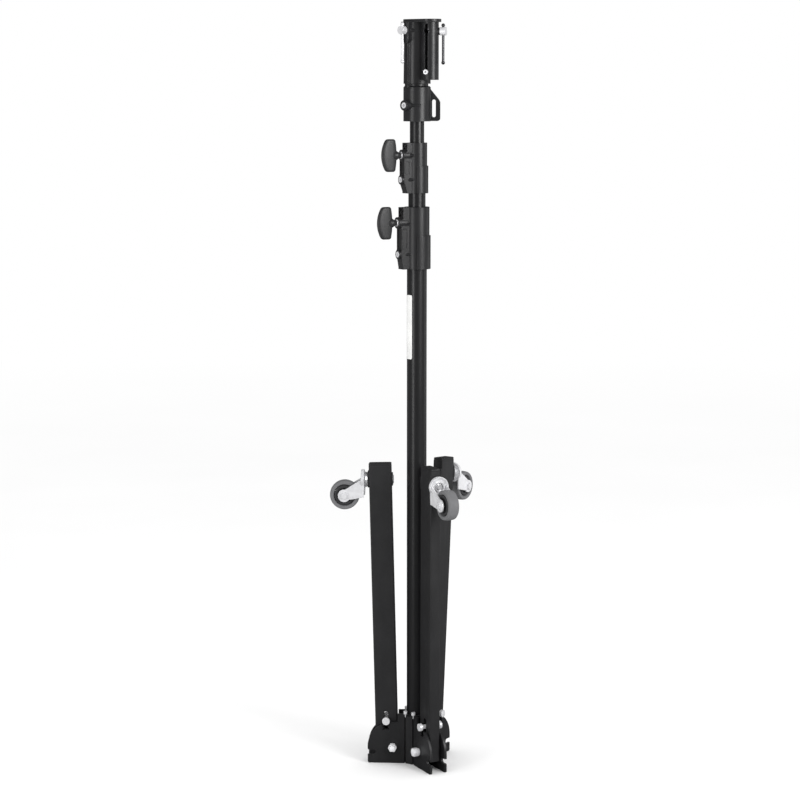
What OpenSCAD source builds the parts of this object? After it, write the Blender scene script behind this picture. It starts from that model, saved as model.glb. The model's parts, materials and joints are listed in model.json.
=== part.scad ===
// Studio stand: a column with two sliding risers on three folding legs with swivel casters.
// Millimetres, +Z up. The origin is on the column's axis at the floor, with the legs folded up.

/* [Column] */
// Outside diameter of the fixed column tube
column_diameter = 35; // [33:0.5:40]
// Wall of the fixed column tube
column_wall = 1.8; // [1.5:0.1:2.4]
// Height of the column tube's top end above the floor
column_height = 949.5; // [850:0.5:1050]
// Wall of both riser tubes
riser_wall = 2; // [1.5:0.1:2.4]
// Gap all round between the column and the first riser
column_riser_gap = 0.7; // [0.4:0.1:1]
// Gap all round between the first and the second riser
riser_riser_gap = 0.5; // [0.3:0.1:0.8]
// Length of the first riser
riser_1_length = 1030; // [950:5:1040]
// Length of the second riser
riser_2_length = 1110; // [1000:5:1140]
// Length of the first riser that shows between the clamps
riser_1_shown = 24; // [10:1:60]
// Length of the second riser that shows below the head
riser_2_shown = 36.9; // [10:0.1:60]

/* [Base] */
// Wall of the socket tube that the column stands in
socket_wall = 3; // [2.5:0.5:4]
// Height of the socket tube and the brackets' backs
socket_height = 91; // [86:1:100]
// Thickness of the bent bracket plates and the gusset strips
plate = 4; // [3:0.5:5]
// Distance from the column's axis to a leg's pivot
pivot_reach = 42; // [40:0.5:46]
// Radius of the cheeks' rim about the pivot
rim_radius = 45; // [43:0.5:48]
// Depth of a lock notch, from the rim to the pin's centre
notch_depth = 8; // [7:0.5:9]
// Width of the groove between a bracket and a gusset strip
hub_groove = 2.3; // [1.5:0.1:3]
// Diameter of the pivot bolts
pivot_bolt_diameter = 10; // [8:1:12]

/* [Legs] */
// Radial depth of the leg tube
leg_depth = 40; // [36:1:44]
// Width of the leg tube
leg_width = 20; // [18:1:24]
// Wall of the leg tube
leg_wall = 1.5; // [1.2:0.1:2.5]
// Outside corner radius of the leg tube
leg_corner = 2.6; // [2:0.1:4]
// Length of the leg tube above the pivot
leg_length = 511; // [450:1:560]
// Length of the leg tube below the pivot
leg_tail = 12.5; // [11:0.5:14]
// Distance from the pivot out to the leg's centre line
leg_offset = 10.5; // [9:0.5:12]
// Play between the leg and each cheek
leg_side_play = 2.5; // [1:0.5:4]
// Height of the end cap above the tube
leg_cap_height = 4.5; // [3:0.5:8]
// Outward lean of the left leg as it is folded up
left_lean = 1.4; // [0:0.1:4.5]
// Outward lean of the front leg as it is folded up
front_lean = 0.2; // [0:0.1:4.5]
// Outward lean of the back leg as it is folded up
back_lean = 4.2; // [0:0.1:4.5]

/* [Leg lock] */
// Diameter of the lock pin
lock_pin_diameter = 8; // [7:0.5:9]
// Diameter of the lock pin's heads
lock_head_diameter = 13.6; // [11:0.2:16]
// Thickness of a lock pin's head
lock_head_thickness = 5; // [3:0.5:7]
// Travel of the lock pin above its place at rest
lock_lift = 11; // [8:0.5:14]

/* [Casters] */
// Wheel diameter over the tyre
wheel_diameter = 53; // [48:1:58]
// Width of the tyre
tyre_width = 20; // [16:1:22]
// Thickness of the tyre
tyre_thickness = 8.5; // [6:0.5:11]
// Height of the swivel axis on the leg above the leg's pivot
caster_height = 486; // [430:1:490]
// Diameter of the round caster plate and the fork's cap
caster_plate_diameter = 36; // [34:1:40]
// Distance from the leg's face out to the wheel's axle
axle_reach = 44.3; // [42.5:0.1:48]
// Trail of the axle behind the swivel axis
caster_trail = 26.6; // [24:0.2:30]
// Thickness of the fork's sheet metal
fork_sheet = 2.5; // [2:0.1:3]
// Diameter of the kingpin
kingpin_diameter = 10; // [8:0.5:12]
// Diameter of the wheel's axle
axle_diameter = 8; // [6:0.5:9]

/* [Clamps] */
// Wall of the lower clamp round the column
lower_clamp_wall = 4.5; // [4:0.1:6]
// Wall of the upper clamp round the first riser
upper_clamp_wall = 2.7; // [2.4:0.1:4]
// Height of the raised pad above a clamp's collar
pad_height = 2.1; // [1:0.1:3]
// Angle that a pad covers round its collar
pad_angle = 237; // [180:1:250]
// Wall of the plastic bushes that guide the risers
bush_wall = 2; // [1.5:0.1:2.4]
// Length of the lower clamp below the column's top end
lower_clamp_grip = 58.2; // [50:0.1:70]
// Length of the lower clamp above the column's top end
lower_clamp_guide = 49.8; // [45:0.1:60]
// Length of the upper clamp below the first riser's top end
upper_clamp_grip = 47.3; // [42:0.1:60]
// Length of the upper clamp above the first riser's top end
upper_clamp_guide = 40; // [36:0.1:50]
// Distance of the lower clamp's block from the axis
lower_block_reach = 35.5; // [34:0.1:40]
// Distance of the upper clamp's block from the axis
upper_block_reach = 30; // [28:0.1:34]
// Half width of the blocks
block_half_width = 8.6; // [8:0.1:10]
// Direction of the clamp blocks and knobs round the column
clamp_azimuth = 213; // [200:1:226]
// Radius of the knob bosses
knob_boss_radius = 10; // [9:0.1:11]
// Length of a knob boss beyond its block
knob_boss_length = 3.6; // [1.5:0.1:6]
// Radius of the fixing bolts' bosses
bolt_boss_radius = 8.4; // [7.5:0.1:10]
// Length of a fixing bolt's boss beyond its block
bolt_boss_length = 3; // [1:0.1:5]
// Diameter of the fixing bolts
fixing_bolt_diameter = 6; // [5:0.5:8]

/* [Knobs] */
// Diameter of the knob screws
knob_screw_diameter = 8; // [6:0.5:9]
// Width of a knob's wing along its screw
knob_width = 29.4; // [26:0.2:36]
// Span of a knob's wing across its screw
knob_span = 56.5; // [48:0.5:64]
// Thickness of a knob's wing
knob_thickness = 9.5; // [7:0.5:12]
// Length of the neck between the washer and the wing
knob_neck = 7.4; // [6:0.2:14]

/* [Head] */
// Diameter of the stud socket's bore
stud_bore_diameter = 28.6; // [28.4:0.1:30]
// Depth of the stud socket
stud_bore_depth = 106; // [90:1:110]
// Height of the head's hub on the second riser
hub_height = 60.5; // [54:0.5:70]
// Outside diameter of the hub
hub_diameter = 47.4; // [45:0.2:50]
// Height of the socket body above the hub, with the flange
head_body_height = 114; // [112:1:124]
// Outside diameter of the socket body at the flange
head_body_diameter = 44.4; // [43:0.2:46]
// Thickness of the top flange
flange_thickness = 5; // [4:0.5:6]
// Outside radius of the flange round the stud socket
flange_radius = 24; // [23.5:0.1:27]
// Direction of the socket screw, the rib and the hub bolt
head_screw_azimuth = 229; // [222:1:236]
// Diameter of the T-screws
t_screw_diameter = 8; // [6:0.5:9]
// Diameter of a T-screw's head
t_head_diameter = 14; // [12:0.5:16]
// Diameter of the tommy bars
bar_diameter = 4.4; // [3:0.2:5]
// Length of a tommy bar between its ball ends' centres
bar_length = 63.5; // [50:0.5:70]
// Diameter of the ball ends
ball_diameter = 6.4; // [5.6:0.2:8]
// Distance of the tie-off loop's outer edge from the axis
loop_reach = 40.3; // [38:0.1:46]
// Thickness of the tie-off loop
loop_thickness = 6; // [4:0.5:8]

/* [Spigot] */
// Diameter of the spigot
spigot_diameter = 16; // [15.8:0.1:16.4]
// Length of the spigot
spigot_length = 96; // [90:1:98]
// Outside diameter of the spigot's tube
spigot_tube_diameter = 29.5; // [28:0.5:32]
// Distance from the stud socket's axis to the spigot's axis
spigot_reach = 33; // [32:0.5:36]
// Direction of the spigot from the stud socket
spigot_azimuth = 316; // [310:1:322]
// Direction of the guide slot round the spigot
slot_azimuth = 245; // [238:1:252]
// Travel of the spigot out of its tube
spigot_travel = 64; // [50:1:66]
// Diameter of the guide screw
guide_screw_diameter = 5.6; // [4:0.1:6]
// Direction of the spigot's T-screw round the spigot
spigot_screw_azimuth = 348; // [342:1:354]

/* [Fits] */
// Radial clearance of parts that slide or turn on each other
running_fit = 0.05; // [0.02:0.01:0.09]
// Radial clearance of parts that are fixed to each other
fixed_fit = 0.02; // [0.01:0.01:0.05]
// Gap along an axis beside a turning or sliding part
side_gap = 0.3; // [0.1:0.1:0.6]

/* [Hidden] */
$fn = 64;

column_radius = column_diameter / 2;
riser_1_radius = column_radius - column_wall - column_riser_gap;
riser_2_radius = riser_1_radius - riser_wall - riser_riser_gap;

// Heights, each on top of the one before
lower_clamp_top = column_height + lower_clamp_guide;
riser_1_top = lower_clamp_top + riser_1_shown + upper_clamp_grip;
upper_clamp_top = riser_1_top + upper_clamp_guide;
hub_bottom = upper_clamp_top + riser_2_shown;
hub_top = hub_bottom + hub_height;
hub_floor = 6;
riser_2_top = hub_top - hub_floor;
head_top = hub_top + head_body_height;
flange_bottom = head_top - flange_thickness;

// Base
plug_flange = 6;
plug_length = 20;
socket_radius = column_radius + fixed_fit + socket_wall;
cheek_inner = leg_width / 2 + leg_side_play;
cheek_outer = cheek_inner + plate;
leg_outer = leg_offset + leg_depth / 2;
leg_inner = leg_offset - leg_depth / 2;
pivot_height = leg_outer;
pivot_bolt_radius = pivot_bolt_diameter / 2;
pin_radius = lock_pin_diameter / 2;
pin_low = sqrt(pow(rim_radius - notch_depth, 2) - pow(leg_offset, 2));
pin_rest = sqrt(pow(rim_radius + pin_radius + 0.1, 2) - pow(leg_offset, 2));
slot_half = pin_radius + 0.5;
notch_lean = (left_lean + front_lean + back_lean) / 3 + 0.27;
cheek_tip = pivot_reach + rim_radius - 0.2;
step_reach = pivot_reach + leg_inner + 0.5;
washer_thickness = 2;
hex_radius = pivot_bolt_radius * 1.56;
pivot_washer = pivot_bolt_radius + 3.3;
hub_strip_half = socket_radius * sin(60) - cheek_outer * cos(60) - hub_groove;
hub_strip_height = socket_height - 3;

// Legs: left, front, back
leg_azimuth = [0, 180, 300, 60];
leg_lean = [0, left_lean, front_lean, back_lean];
strap_thickness = 2.5;

// Casters, measured out from the leg's face
plate_radius = caster_plate_diameter / 2;
raceway_top = strap_thickness + 5.5;
cap_bottom = raceway_top + side_gap;
cap_top = cap_bottom + 3;
cap_rim = 2.4;
raceway_radius = plate_radius * 0.76;
kingpin_head = kingpin_diameter * 0.84;
kingpin_top = cap_top + side_gap + 2.6;
wheel_radius = wheel_diameter / 2;
rim_inside = wheel_radius - tyre_thickness;
fork_inside = tyre_width / 2 + 3.2;
fork_outside = fork_inside + fork_sheet;

// Clamps
lower_clamp_radius = column_radius + lower_clamp_wall;
upper_clamp_radius = riser_1_radius + upper_clamp_wall;
lower_knob_z = column_height + lower_clamp_guide * 0.46;
upper_knob_z = riser_1_top + upper_clamp_guide * 0.46;
lower_bolt_z = column_height - lower_clamp_grip * 0.55;
upper_bolt_z = riser_1_top - upper_clamp_grip * 0.5;
lower_boss_end = lower_block_reach + knob_boss_length + 0.9;
upper_boss_end = upper_block_reach + knob_boss_length - 2.1;
knob_washer = 2.4;
bolt_head_radius = fixing_bolt_diameter * 0.85;
bolt_head_depth = 2.4;
bolt_head_gap = 0.6;
bolt_head_proud = 0.8;
wing_front_bulge = 9;
wing_back_bulge = 3.2;

// Head
hub_radius = hub_diameter / 2;
body_top_radius = head_body_diameter / 2;
body_bottom_radius = body_top_radius + 1.3;
stud_radius = stud_bore_diameter / 2;
spigot_radius = spigot_diameter / 2;
spigot_tube_radius = spigot_tube_diameter / 2;
spigot_x = spigot_reach * cos(spigot_azimuth);
spigot_y = spigot_reach * sin(spigot_azimuth);
spigot_bottom = head_top - 2 - spigot_length;
spigot_tube_bottom = spigot_bottom - 5.5;
slot_low = spigot_bottom + 8;
keyhole_z = slot_low + spigot_travel + 6;
flange_small_radius = spigot_tube_radius + 4.25;
t_screw_z = flange_bottom - 14;
spigot_screw_z = flange_bottom - 16;
socket_boss_end = body_bottom_radius + 7.5;
t_head_radius = t_head_diameter / 2;
t_head_length = 10;
spigot_boss_end = spigot_tube_radius + 2.8;
bar_radius = bar_diameter / 2;
ball_radius = ball_diameter / 2;
hub_bolt_z = hub_bottom + hub_height * 0.455;
hub_chamfer = 2;
hub_rib_angle = 61;
hub_boss_end = hub_radius + 9;
head_groove = 4;
guide_head_radius = guide_screw_diameter * 0.75;

// A tube round the z axis
module tube(outside, inside, bottom, top) {
  translate([0, 0, bottom])
    difference() {
      cylinder(r = outside, h = top - bottom);
      translate([0, 0, -1])
        cylinder(r = inside, h = top - bottom + 2);
    }
}

// A cylinder along x from one distance to another
module rod_x(r, from, to) {
  translate([from, 0, 0])
    rotate([0, 90, 0])
      cylinder(r = r, h = to - from);
}

// A cylinder along y from one distance to another
module rod_y(r, from, to) {
  translate([0, from, 0])
    rotate([-90, 0, 0])
      cylinder(r = r, h = to - from);
}

// A flat rectangle with round corners, about its centre
module round_rectangle(x, y, r) {
  square([x - 2 * r, y], center = true);
  square([x, y - 2 * r], center = true);
  for (sx = [-1, 1])
    for (sy = [-1, 1])
      translate([sx * (x / 2 - r), sy * (y / 2 - r)])
        circle(r = r);
}

// Stands a drawing of radius and height upright, with the given thickness about its plane
module upright(thickness) {
  rotate([90, 0, 0])
    linear_extrude(height = thickness, center = true)
      children();
}

// The frame of one leg's bracket: x out from the column, y along the pivot
module bracket_frame(i) {
  rotate([0, 0, leg_azimuth[i]])
    children();
}

// The frame of one leg: at its pivot, x outward, z up along the leg
module leg_frame(i) {
  bracket_frame(i)
    translate([pivot_reach, 0, pivot_height])
      rotate([0, leg_lean[i], 0])
        children();
}

// The frame of one caster: on the leg's outer face, z along the swivel axis, x down
module caster_frame(i) {
  leg_frame(i)
    translate([leg_outer, 0, caster_height])
      rotate([0, 90, 0])
        children();
}

// Places its children round the axle of one caster, with y along the axle
module axle_frame(i) {
  caster_frame(i)
    translate([caster_trail, 0, axle_reach])
      children();
}

// The column tube
module column() {
  color("#1c1c1e")
    tube(column_radius, column_radius - column_wall, plug_flange, column_height);
}

// The plug in the column's foot, level with the base's underside
module column_plug() {
  color("#232325") {
    cylinder(r = column_radius, h = plug_flange);
    translate([0, 0, plug_flange])
      cylinder(r = column_radius - column_wall - fixed_fit, h = plug_length);
  }
}

// The short tube that carries the three brackets
module base_socket() {
  color("#232325")
    tube(socket_radius, column_radius + fixed_fit, 0, socket_height - 1);
}

// The outline of a bracket's cheek in its own plane
module cheek_outline() {
  difference() {
    union() {
      intersection() {
        translate([pivot_reach, pivot_height])
          circle(r = rim_radius);
        translate([socket_radius, 0])
          square([2 * rim_radius + pivot_reach, 3 * rim_radius]);
      }
      translate([socket_radius, 0])
        square([pivot_reach - socket_radius, pivot_height + rim_radius]);
      translate([socket_radius, 0])
        square([step_reach - socket_radius, socket_height]);
      translate([socket_radius, 0])
        square([cheek_tip - socket_radius - 3, pivot_height - leg_offset]);
      translate([socket_radius, 3])
        square([cheek_tip - socket_radius, pivot_height - leg_offset - 3]);
      translate([cheek_tip - 3, 3])
        circle(r = 3);
    }
    translate([pivot_reach, pivot_height])
      circle(r = pivot_bolt_radius + running_fit);
    // Notch for the leg when it is down
    translate([pivot_reach + pin_low - 0.3, pivot_height - leg_offset])
      circle(r = slot_half);
    translate([pivot_reach + pin_low - 0.3, pivot_height - leg_offset - slot_half])
      square([rim_radius, 2 * slot_half]);
    // Notch for the leg when it is up, wider so that the leg has some play
    translate([pivot_reach, pivot_height])
      rotate(-notch_lean)
        translate([leg_offset - pin_radius - 2.2, pin_low - pin_radius - 0.4])
          square([2 * pin_radius + 4.4, rim_radius]);
  }
}

// One bent bracket: two cheeks and the plate between them at the back
module leg_bracket(i) {
  color("#232325")
    bracket_frame(i)
      difference() {
        union() {
          for (side = [-1, 1])
            translate([0, side * (cheek_inner + plate / 2), 0])
              upright(plate)
                cheek_outline();
          translate([socket_radius, -cheek_inner - plate / 2, 0])
            cube([plate, 2 * cheek_inner + plate, socket_height]);
          translate([socket_radius - 2, -socket_radius * 0.38, 0])
            cube([plate, socket_radius * 0.76, socket_height]);
        }
        translate([0, 0, -1])
          cylinder(r = socket_radius, h = socket_height + 2);
      }
}

// The three strips between the brackets
module hub_gussets() {
  color("#232325")
    for (i = [1:3])
      rotate([0, 0, leg_azimuth[i] + 60])
        difference() {
          translate([socket_radius - 2, -hub_strip_half, 0])
            cube([plate + 2, 2 * hub_strip_half, hub_strip_height]);
          translate([0, 0, -1])
            cylinder(r = socket_radius, h = socket_height + 2);
        }
}

// The bright pins at the top of the six grooves, each resting on a bracket's back
module hub_pins() {
  color("#c9cbd0")
    for (i = [1:3])
      for (side = [-1, 1])
        rotate([0, 0, leg_azimuth[i] + 60])
          translate([socket_radius + plate - 1.5, side * (hub_strip_half + hub_groove / 2), 0]) {
            translate([0, 0, socket_height])
              cylinder(r = 3.4, h = 5.5);
            translate([0, 0, socket_height - 6])
              cylinder(r = hub_groove / 2 - 0.1, h = 6);
          }
}

// The bolts that the three legs turn on
module pivot_bolts() {
  color("#c9cbd0")
    for (i = [1:3])
      bracket_frame(i)
        translate([pivot_reach, 0, pivot_height]) {
          rod_y(pivot_bolt_radius, -cheek_outer, cheek_outer + washer_thickness + 11.6);
          rod_y(pivot_washer, -cheek_outer - washer_thickness, -cheek_outer);
          translate([0, -cheek_outer - washer_thickness, 0])
            rotate([90, 0, 0])
              cylinder(r = hex_radius, h = 10.5, $fn = 6);
        }
}

// The nuts and washers on the pivot bolts
module pivot_nuts() {
  color("#c9cbd0")
    for (i = [1:3])
      bracket_frame(i)
        translate([pivot_reach, cheek_outer, pivot_height])
          difference() {
            union() {
              rod_y(pivot_washer, 0, washer_thickness);
              translate([0, washer_thickness, 0])
                rotate([-90, 0, 0])
                  cylinder(r = hex_radius, h = 9, $fn = 6);
            }
            rod_y(pivot_bolt_radius + fixed_fit, -1, washer_thickness + 12);
          }
}

// One leg tube, with its pivot holes, lock slots and kingpin holes
module leg_tube(i) {
  color("#242426")
    leg_frame(i)
      difference() {
        translate([leg_offset, 0, -leg_tail])
          linear_extrude(height = leg_length + leg_tail)
            difference() {
              round_rectangle(leg_depth, leg_width, leg_corner);
              round_rectangle(leg_depth - 2 * leg_wall, leg_width - 2 * leg_wall, leg_corner - leg_wall + 0.3);
            }
        rod_y(pivot_bolt_radius + running_fit, -leg_width, leg_width);
        upright(2 * leg_width) {
          translate([leg_offset, pin_low - 0.5])
            circle(r = slot_half);
          translate([leg_offset, pin_rest + lock_lift])
            circle(r = slot_half);
          translate([leg_offset - slot_half, pin_low - 0.5])
            square([2 * slot_half, pin_rest + lock_lift - pin_low + 0.5]);
        }
        translate([0, 0, caster_height])
          rod_x(kingpin_diameter / 2 + fixed_fit, leg_inner - 5, leg_outer + 5);
      }
}

// The plastic cap in a leg's upper end
module leg_cap(i) {
  plug = leg_wall + fixed_fit;
  color("#141415")
    leg_frame(i)
      translate([leg_offset, 0, leg_length]) {
        linear_extrude(height = leg_cap_height - 1)
          round_rectangle(leg_depth, leg_width, leg_corner);
        linear_extrude(height = leg_cap_height)
          round_rectangle(leg_depth - 2, leg_width - 2, leg_corner);
        translate([0, 0, -8])
          linear_extrude(height = 8)
            round_rectangle(leg_depth - 2 * plug, leg_width - 2 * plug, leg_corner - leg_wall + 0.3);
      }
}

// The pin that locks a leg in a notch of its bracket, drawn up onto the rim
module lock_pin(i) {
  color("#c9cbd0")
    leg_frame(i)
      translate([leg_offset, 0, pin_rest]) {
        rod_y(pin_radius, -cheek_outer - 1, cheek_outer + 1);
        for (side = [0, 180])
          rotate([0, 0, side])
            rod_y(lock_head_diameter / 2, cheek_outer + 0.4, cheek_outer + 0.4 + lock_head_thickness);
      }
}

// The tension spring between the pivot bolt and the lock pin
module lock_spring(i) {
  loop = max(pivot_bolt_radius, pin_radius) + 1.1;
  reach = sqrt(pow(pin_rest, 2) + pow(leg_offset, 2));
  color("#9a9ca0")
    leg_frame(i)
      rotate([0, atan2(leg_offset, pin_rest), 0]) {
        for (end = [0, reach])
          translate([0, 0, end])
            rotate([90, 0, 0])
              rotate_extrude()
                translate([loop, 0])
                  circle(r = 0.8);
        translate([0, 0, loop])
          cylinder(r = 3.5, h = reach - 2 * loop);
      }
}

// The plates on a leg's outer and inner faces under the caster
module caster_strap(i) {
  color("#141415")
    caster_frame(i)
      difference() {
        union() {
          linear_extrude(height = strap_thickness)
            round_rectangle(27, leg_width - 1, 2);
          translate([-14, 0, 1.2])
            rod_y(1.2, -leg_width / 2 + 1, leg_width / 2 - 1);
          translate([0, 0, -leg_depth - 2])
            linear_extrude(height = 2)
              round_rectangle(22, leg_width - 1, 2);
        }
        translate([0, 0, -leg_depth - 5])
          cylinder(r = kingpin_diameter / 2 + fixed_fit, h = leg_depth + 10);
      }
}

// The fixed half of a caster's swivel, with the kingpin that holds it to the leg
module caster_plate(i) {
  color("#c9cbd0")
    caster_frame(i) {
      translate([0, 0, strap_thickness])
        cylinder(r1 = raceway_radius - 1.5, r2 = raceway_radius, h = raceway_top - strap_thickness - 2);
      translate([0, 0, raceway_top - 2])
        cylinder(r = raceway_radius, h = 2);
      translate([0, 0, -leg_depth - 2])
        cylinder(r = kingpin_diameter / 2, h = kingpin_top + leg_depth + 2);
      // Head with a ring groove round the riveted end
      translate([0, 0, cap_top + side_gap])
        cylinder(r = kingpin_head, h = 0.8);
      tube(kingpin_head, kingpin_head - 2, cap_top + side_gap, cap_top + side_gap + 2);
      translate([0, 0, -leg_depth - 3.5])
        cylinder(r = kingpin_diameter * 0.75, h = 1.5);
    }
}

// The outline of a fork's side, with x down and y out from the leg
module fork_outline() {
  polygon([[-2, cap_bottom], [-2, cap_top + 1.5], [5.9, axle_reach - 17.6],
    [caster_trail - 10.6, axle_reach - 1], [caster_trail, axle_reach],
    [caster_trail + 7.2, axle_reach - 10.3], [caster_trail + 4.4, cap_bottom + 8.4],
    [caster_trail + 3.6, cap_bottom + 1.1], [14, cap_bottom]]);
  translate([caster_trail, axle_reach])
    circle(r = 11.2);
}

// The turning half of a caster: its cap and the two sides that hold the axle
module caster_fork(i) {
  color("#c9cbd0")
    caster_frame(i)
      difference() {
        union() {
          translate([0, 0, cap_bottom])
            cylinder(r = plate_radius, h = cap_top - cap_bottom);
          difference() {
            translate([0, 0, cap_bottom])
              cylinder(r = plate_radius, h = cap_top + cap_rim - cap_bottom);
            translate([0, 0, cap_top])
              cylinder(r1 = plate_radius - 4.5, r2 = plate_radius - 1.6, h = cap_rim);
          }
          for (side = [-1, 1])
            translate([0, side * (fork_inside + fork_sheet / 2), 0])
              upright(fork_sheet)
                fork_outline();
        }
        translate([0, 0, cap_bottom - 1])
          cylinder(r = kingpin_diameter / 2 + running_fit, h = cap_top - cap_bottom + 2);
        translate([caster_trail, 0, axle_reach])
          rod_y(axle_diameter / 2 + fixed_fit, -fork_outside - 5, fork_outside + 5);
      }
}

// The bolt that a wheel turns on
module caster_axle(i) {
  color("#b4b6bb")
    axle_frame(i) {
      rod_y(axle_diameter / 2, -fork_outside, fork_outside + 1);
      for (side = [0, 180])
        rotate([0, 0, side])
          translate([0, fork_outside, 0])
            rotate([-90, 0, 0])
              cylinder(r = axle_diameter * 0.8, h = axle_diameter * 0.42, $fn = 6);
    }
}

// The core of a wheel, with a ring on each face
module caster_wheel(i) {
  half = tyre_width / 2 - 0.6;
  color("#222223")
    axle_frame(i)
      rotate([-90, 0, 0])
        difference() {
          rotate_extrude()
            polygon([[0, -fork_inside + side_gap], [7.5, -fork_inside + side_gap], [7.5, -half],
              [rim_inside, -half], [rim_inside, half], [7.5, half],
              [7.5, fork_inside - side_gap], [0, fork_inside - side_gap]]);
          for (side = [-1, 1])
            translate([0, 0, side * half])
              tube(rim_inside - 0.8, rim_inside - 5.2, -1.2, 1.2);
          translate([0, 0, -fork_inside])
            cylinder(r = axle_diameter / 2 + running_fit, h = 2 * fork_inside);
        }
}

// The tyre on a wheel
module caster_tyre(i) {
  round = 3.4;
  color("#77787b")
    axle_frame(i)
      rotate([-90, 0, 0])
        rotate_extrude()
          difference() {
            translate([wheel_radius - 6.8, 0]) {
              square([13.6 - 2 * round, tyre_width], center = true);
              square([13.6, tyre_width - 2 * round], center = true);
              for (side = [-1, 1])
                translate([6.8 - round, side * (tyre_width / 2 - round)])
                  circle(r = round);
            }
            translate([0, -tyre_width])
              square([rim_inside, 2 * tyre_width]);
          }
}

// The frame of a clamp: x along its block, at the height given
module clamp_frame(z) {
  translate([0, 0, z])
    rotate([0, 0, clamp_azimuth])
      children();
}

// A pointed ridge from a boss round onto its collar, on both sides
module boss_ridges(boss_end, r, collar, angle) {
  start = boss_end - r * 0.68 - 0.5;
  end_x = collar * cos(angle);
  end_y = collar * sin(angle);
  run = sqrt(pow(start - end_x, 2) + pow(end_y, 2));
  for (side = [-1, 1])
    translate([start, 0, 0])
      rotate([0, 0, 180 - side * atan2(end_y, start - end_x)])
        rotate([0, 90, 0])
          cylinder(r1 = r * 0.8, r2 = 1.2, h = run);
}

// A cast clamp: a collar with a raised pad and a block for the knob and the fixing bolt
module clamp_body(collar, grip_bore, guide_bore, grip, guide, reach, cut, knob, bolt, boss_end, ridge) {
  knob_end = knob + knob_boss_radius;
  bolt_end = bolt - bolt_boss_radius;
  difference() {
    union() {
      translate([0, 0, -grip])
        cylinder(r = collar, h = grip + guide);
      translate([0, 0, -grip])
        rotate([0, 0, 180 - pad_angle / 2])
          rotate_extrude(angle = pad_angle)
            translate([collar - 1, 0])
              square([pad_height + 1, grip]);
      upright(2 * block_half_width)
        polygon([[0, -grip], [reach - cut, -grip], [reach - cut, -grip + 3], [reach, bolt_end + 4],
          [reach, knob + 1], [reach - cut, knob_end - 2], [reach - cut, guide], [0, guide]]);
      translate([0, 0, knob])
        rod_x(knob_boss_radius, collar * 0.6, boss_end);
      translate([0, 0, bolt])
        rod_x(bolt_boss_radius, collar * 0.6, reach + bolt_boss_length);
      translate([0, 0, knob])
        boss_ridges(boss_end, knob_boss_radius, collar, ridge);
      translate([0, 0, bolt])
        boss_ridges(reach + bolt_boss_length, bolt_boss_radius, collar, ridge);
    }
    // Pocket in the block's end above the knob, with crossed ribs left in it
    difference() {
      translate([reach - cut - 2.4, -block_half_width + 1.6, knob_end + 0.6])
        cube([5, 2 * block_half_width - 3.2, guide - knob_end - 2.2]);
      for (side = [-1, 1])
        translate([reach - cut - 3, 0, (guide + knob_end - 1) / 2])
          rotate([side * 40, 0, 0])
            translate([0, -2 * block_half_width, -0.8])
              cube([10, 4 * block_half_width, 1.6]);
    }
    // Recesses between the bosses
    for (side = [-1, 1])
      translate([collar + 2.6, side * (block_half_width + 1.4) - 2.5, bolt + bolt_boss_radius + 1])
        cube([reach - collar - 5, 5, knob - bolt - knob_boss_radius - bolt_boss_radius - 2]);
    translate([reach - 1.4, -block_half_width + 2, bolt + bolt_boss_radius + 1])
      cube([5, 2 * block_half_width - 4, knob - bolt - knob_boss_radius - bolt_boss_radius - 2]);
    // Bores for the tube and the bush, and the two screw holes
    translate([0, 0, -grip - 1])
      cylinder(r = grip_bore, h = grip + 1);
    translate([0, 0, -1])
      cylinder(r = guide_bore, h = guide + 2);
    translate([0, 0, knob])
      rod_x(knob_screw_diameter / 2 + running_fit, 0, boss_end + 1);
    translate([0, 0, bolt])
      rod_x(fixing_bolt_diameter / 2 + fixed_fit, 0, reach + bolt_boss_length + 1);
    translate([0, 0, bolt])
      rod_x(bolt_head_radius + bolt_head_gap, reach + bolt_boss_length - bolt_head_depth, reach + bolt_boss_length + 1);
  }
}

// The clamp on the column
module lower_clamp_body() {
  color("#2b2b2e")
    clamp_frame(column_height)
      clamp_body(lower_clamp_radius, column_radius + fixed_fit,
        riser_1_radius + running_fit + bush_wall + fixed_fit, lower_clamp_grip, lower_clamp_guide,
        lower_block_reach, 3.2, lower_knob_z - column_height, lower_bolt_z - column_height,
        lower_boss_end, 30);
}

// The clamp on the first riser
module upper_clamp_body() {
  color("#2b2b2e")
    clamp_frame(riser_1_top)
      clamp_body(upper_clamp_radius, riser_1_radius + fixed_fit,
        riser_2_radius + running_fit + bush_wall + fixed_fit, upper_clamp_grip, upper_clamp_guide,
        upper_block_reach, 5.6, upper_knob_z - riser_1_top, upper_bolt_z - riser_1_top,
        upper_boss_end, 44);
}

// A plastic guide bush round a riser, above the end of the tube below
module clamp_bush(riser, z, top) {
  color("#19191a")
    tube(riser + running_fit + bush_wall, riser + running_fit, z + 0.2, top - 0.8);
}

module lower_clamp_bush() {
  clamp_bush(riser_1_radius, column_height, lower_clamp_top);
}

module upper_clamp_bush() {
  clamp_bush(riser_2_radius, riser_1_top, upper_clamp_top);
}

// A bolt along x from a tube out to its head, which sits in the end of its boss
module fixing_bolt(tube_radius, boss_end) {
  seat = boss_end - bolt_head_depth;
  difference() {
    union() {
      rod_x(fixing_bolt_diameter / 2, tube_radius, seat + 1);
      rod_x(bolt_head_radius, seat, boss_end + bolt_head_proud);
    }
    rotate([0, 90, 0])
      translate([0, 0, seat - 2])
        cylinder(r = fixing_bolt_diameter * 0.34, h = 8, $fn = 6);
  }
}

// The bolt that fixes a clamp to its tube
module clamp_bolt(z, tube_radius, reach) {
  color("#c9cbd0")
    clamp_frame(z)
      fixing_bolt(tube_radius, reach + bolt_boss_length);
}

module lower_clamp_bolt() {
  clamp_bolt(lower_bolt_z, column_radius, lower_block_reach);
}

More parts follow.
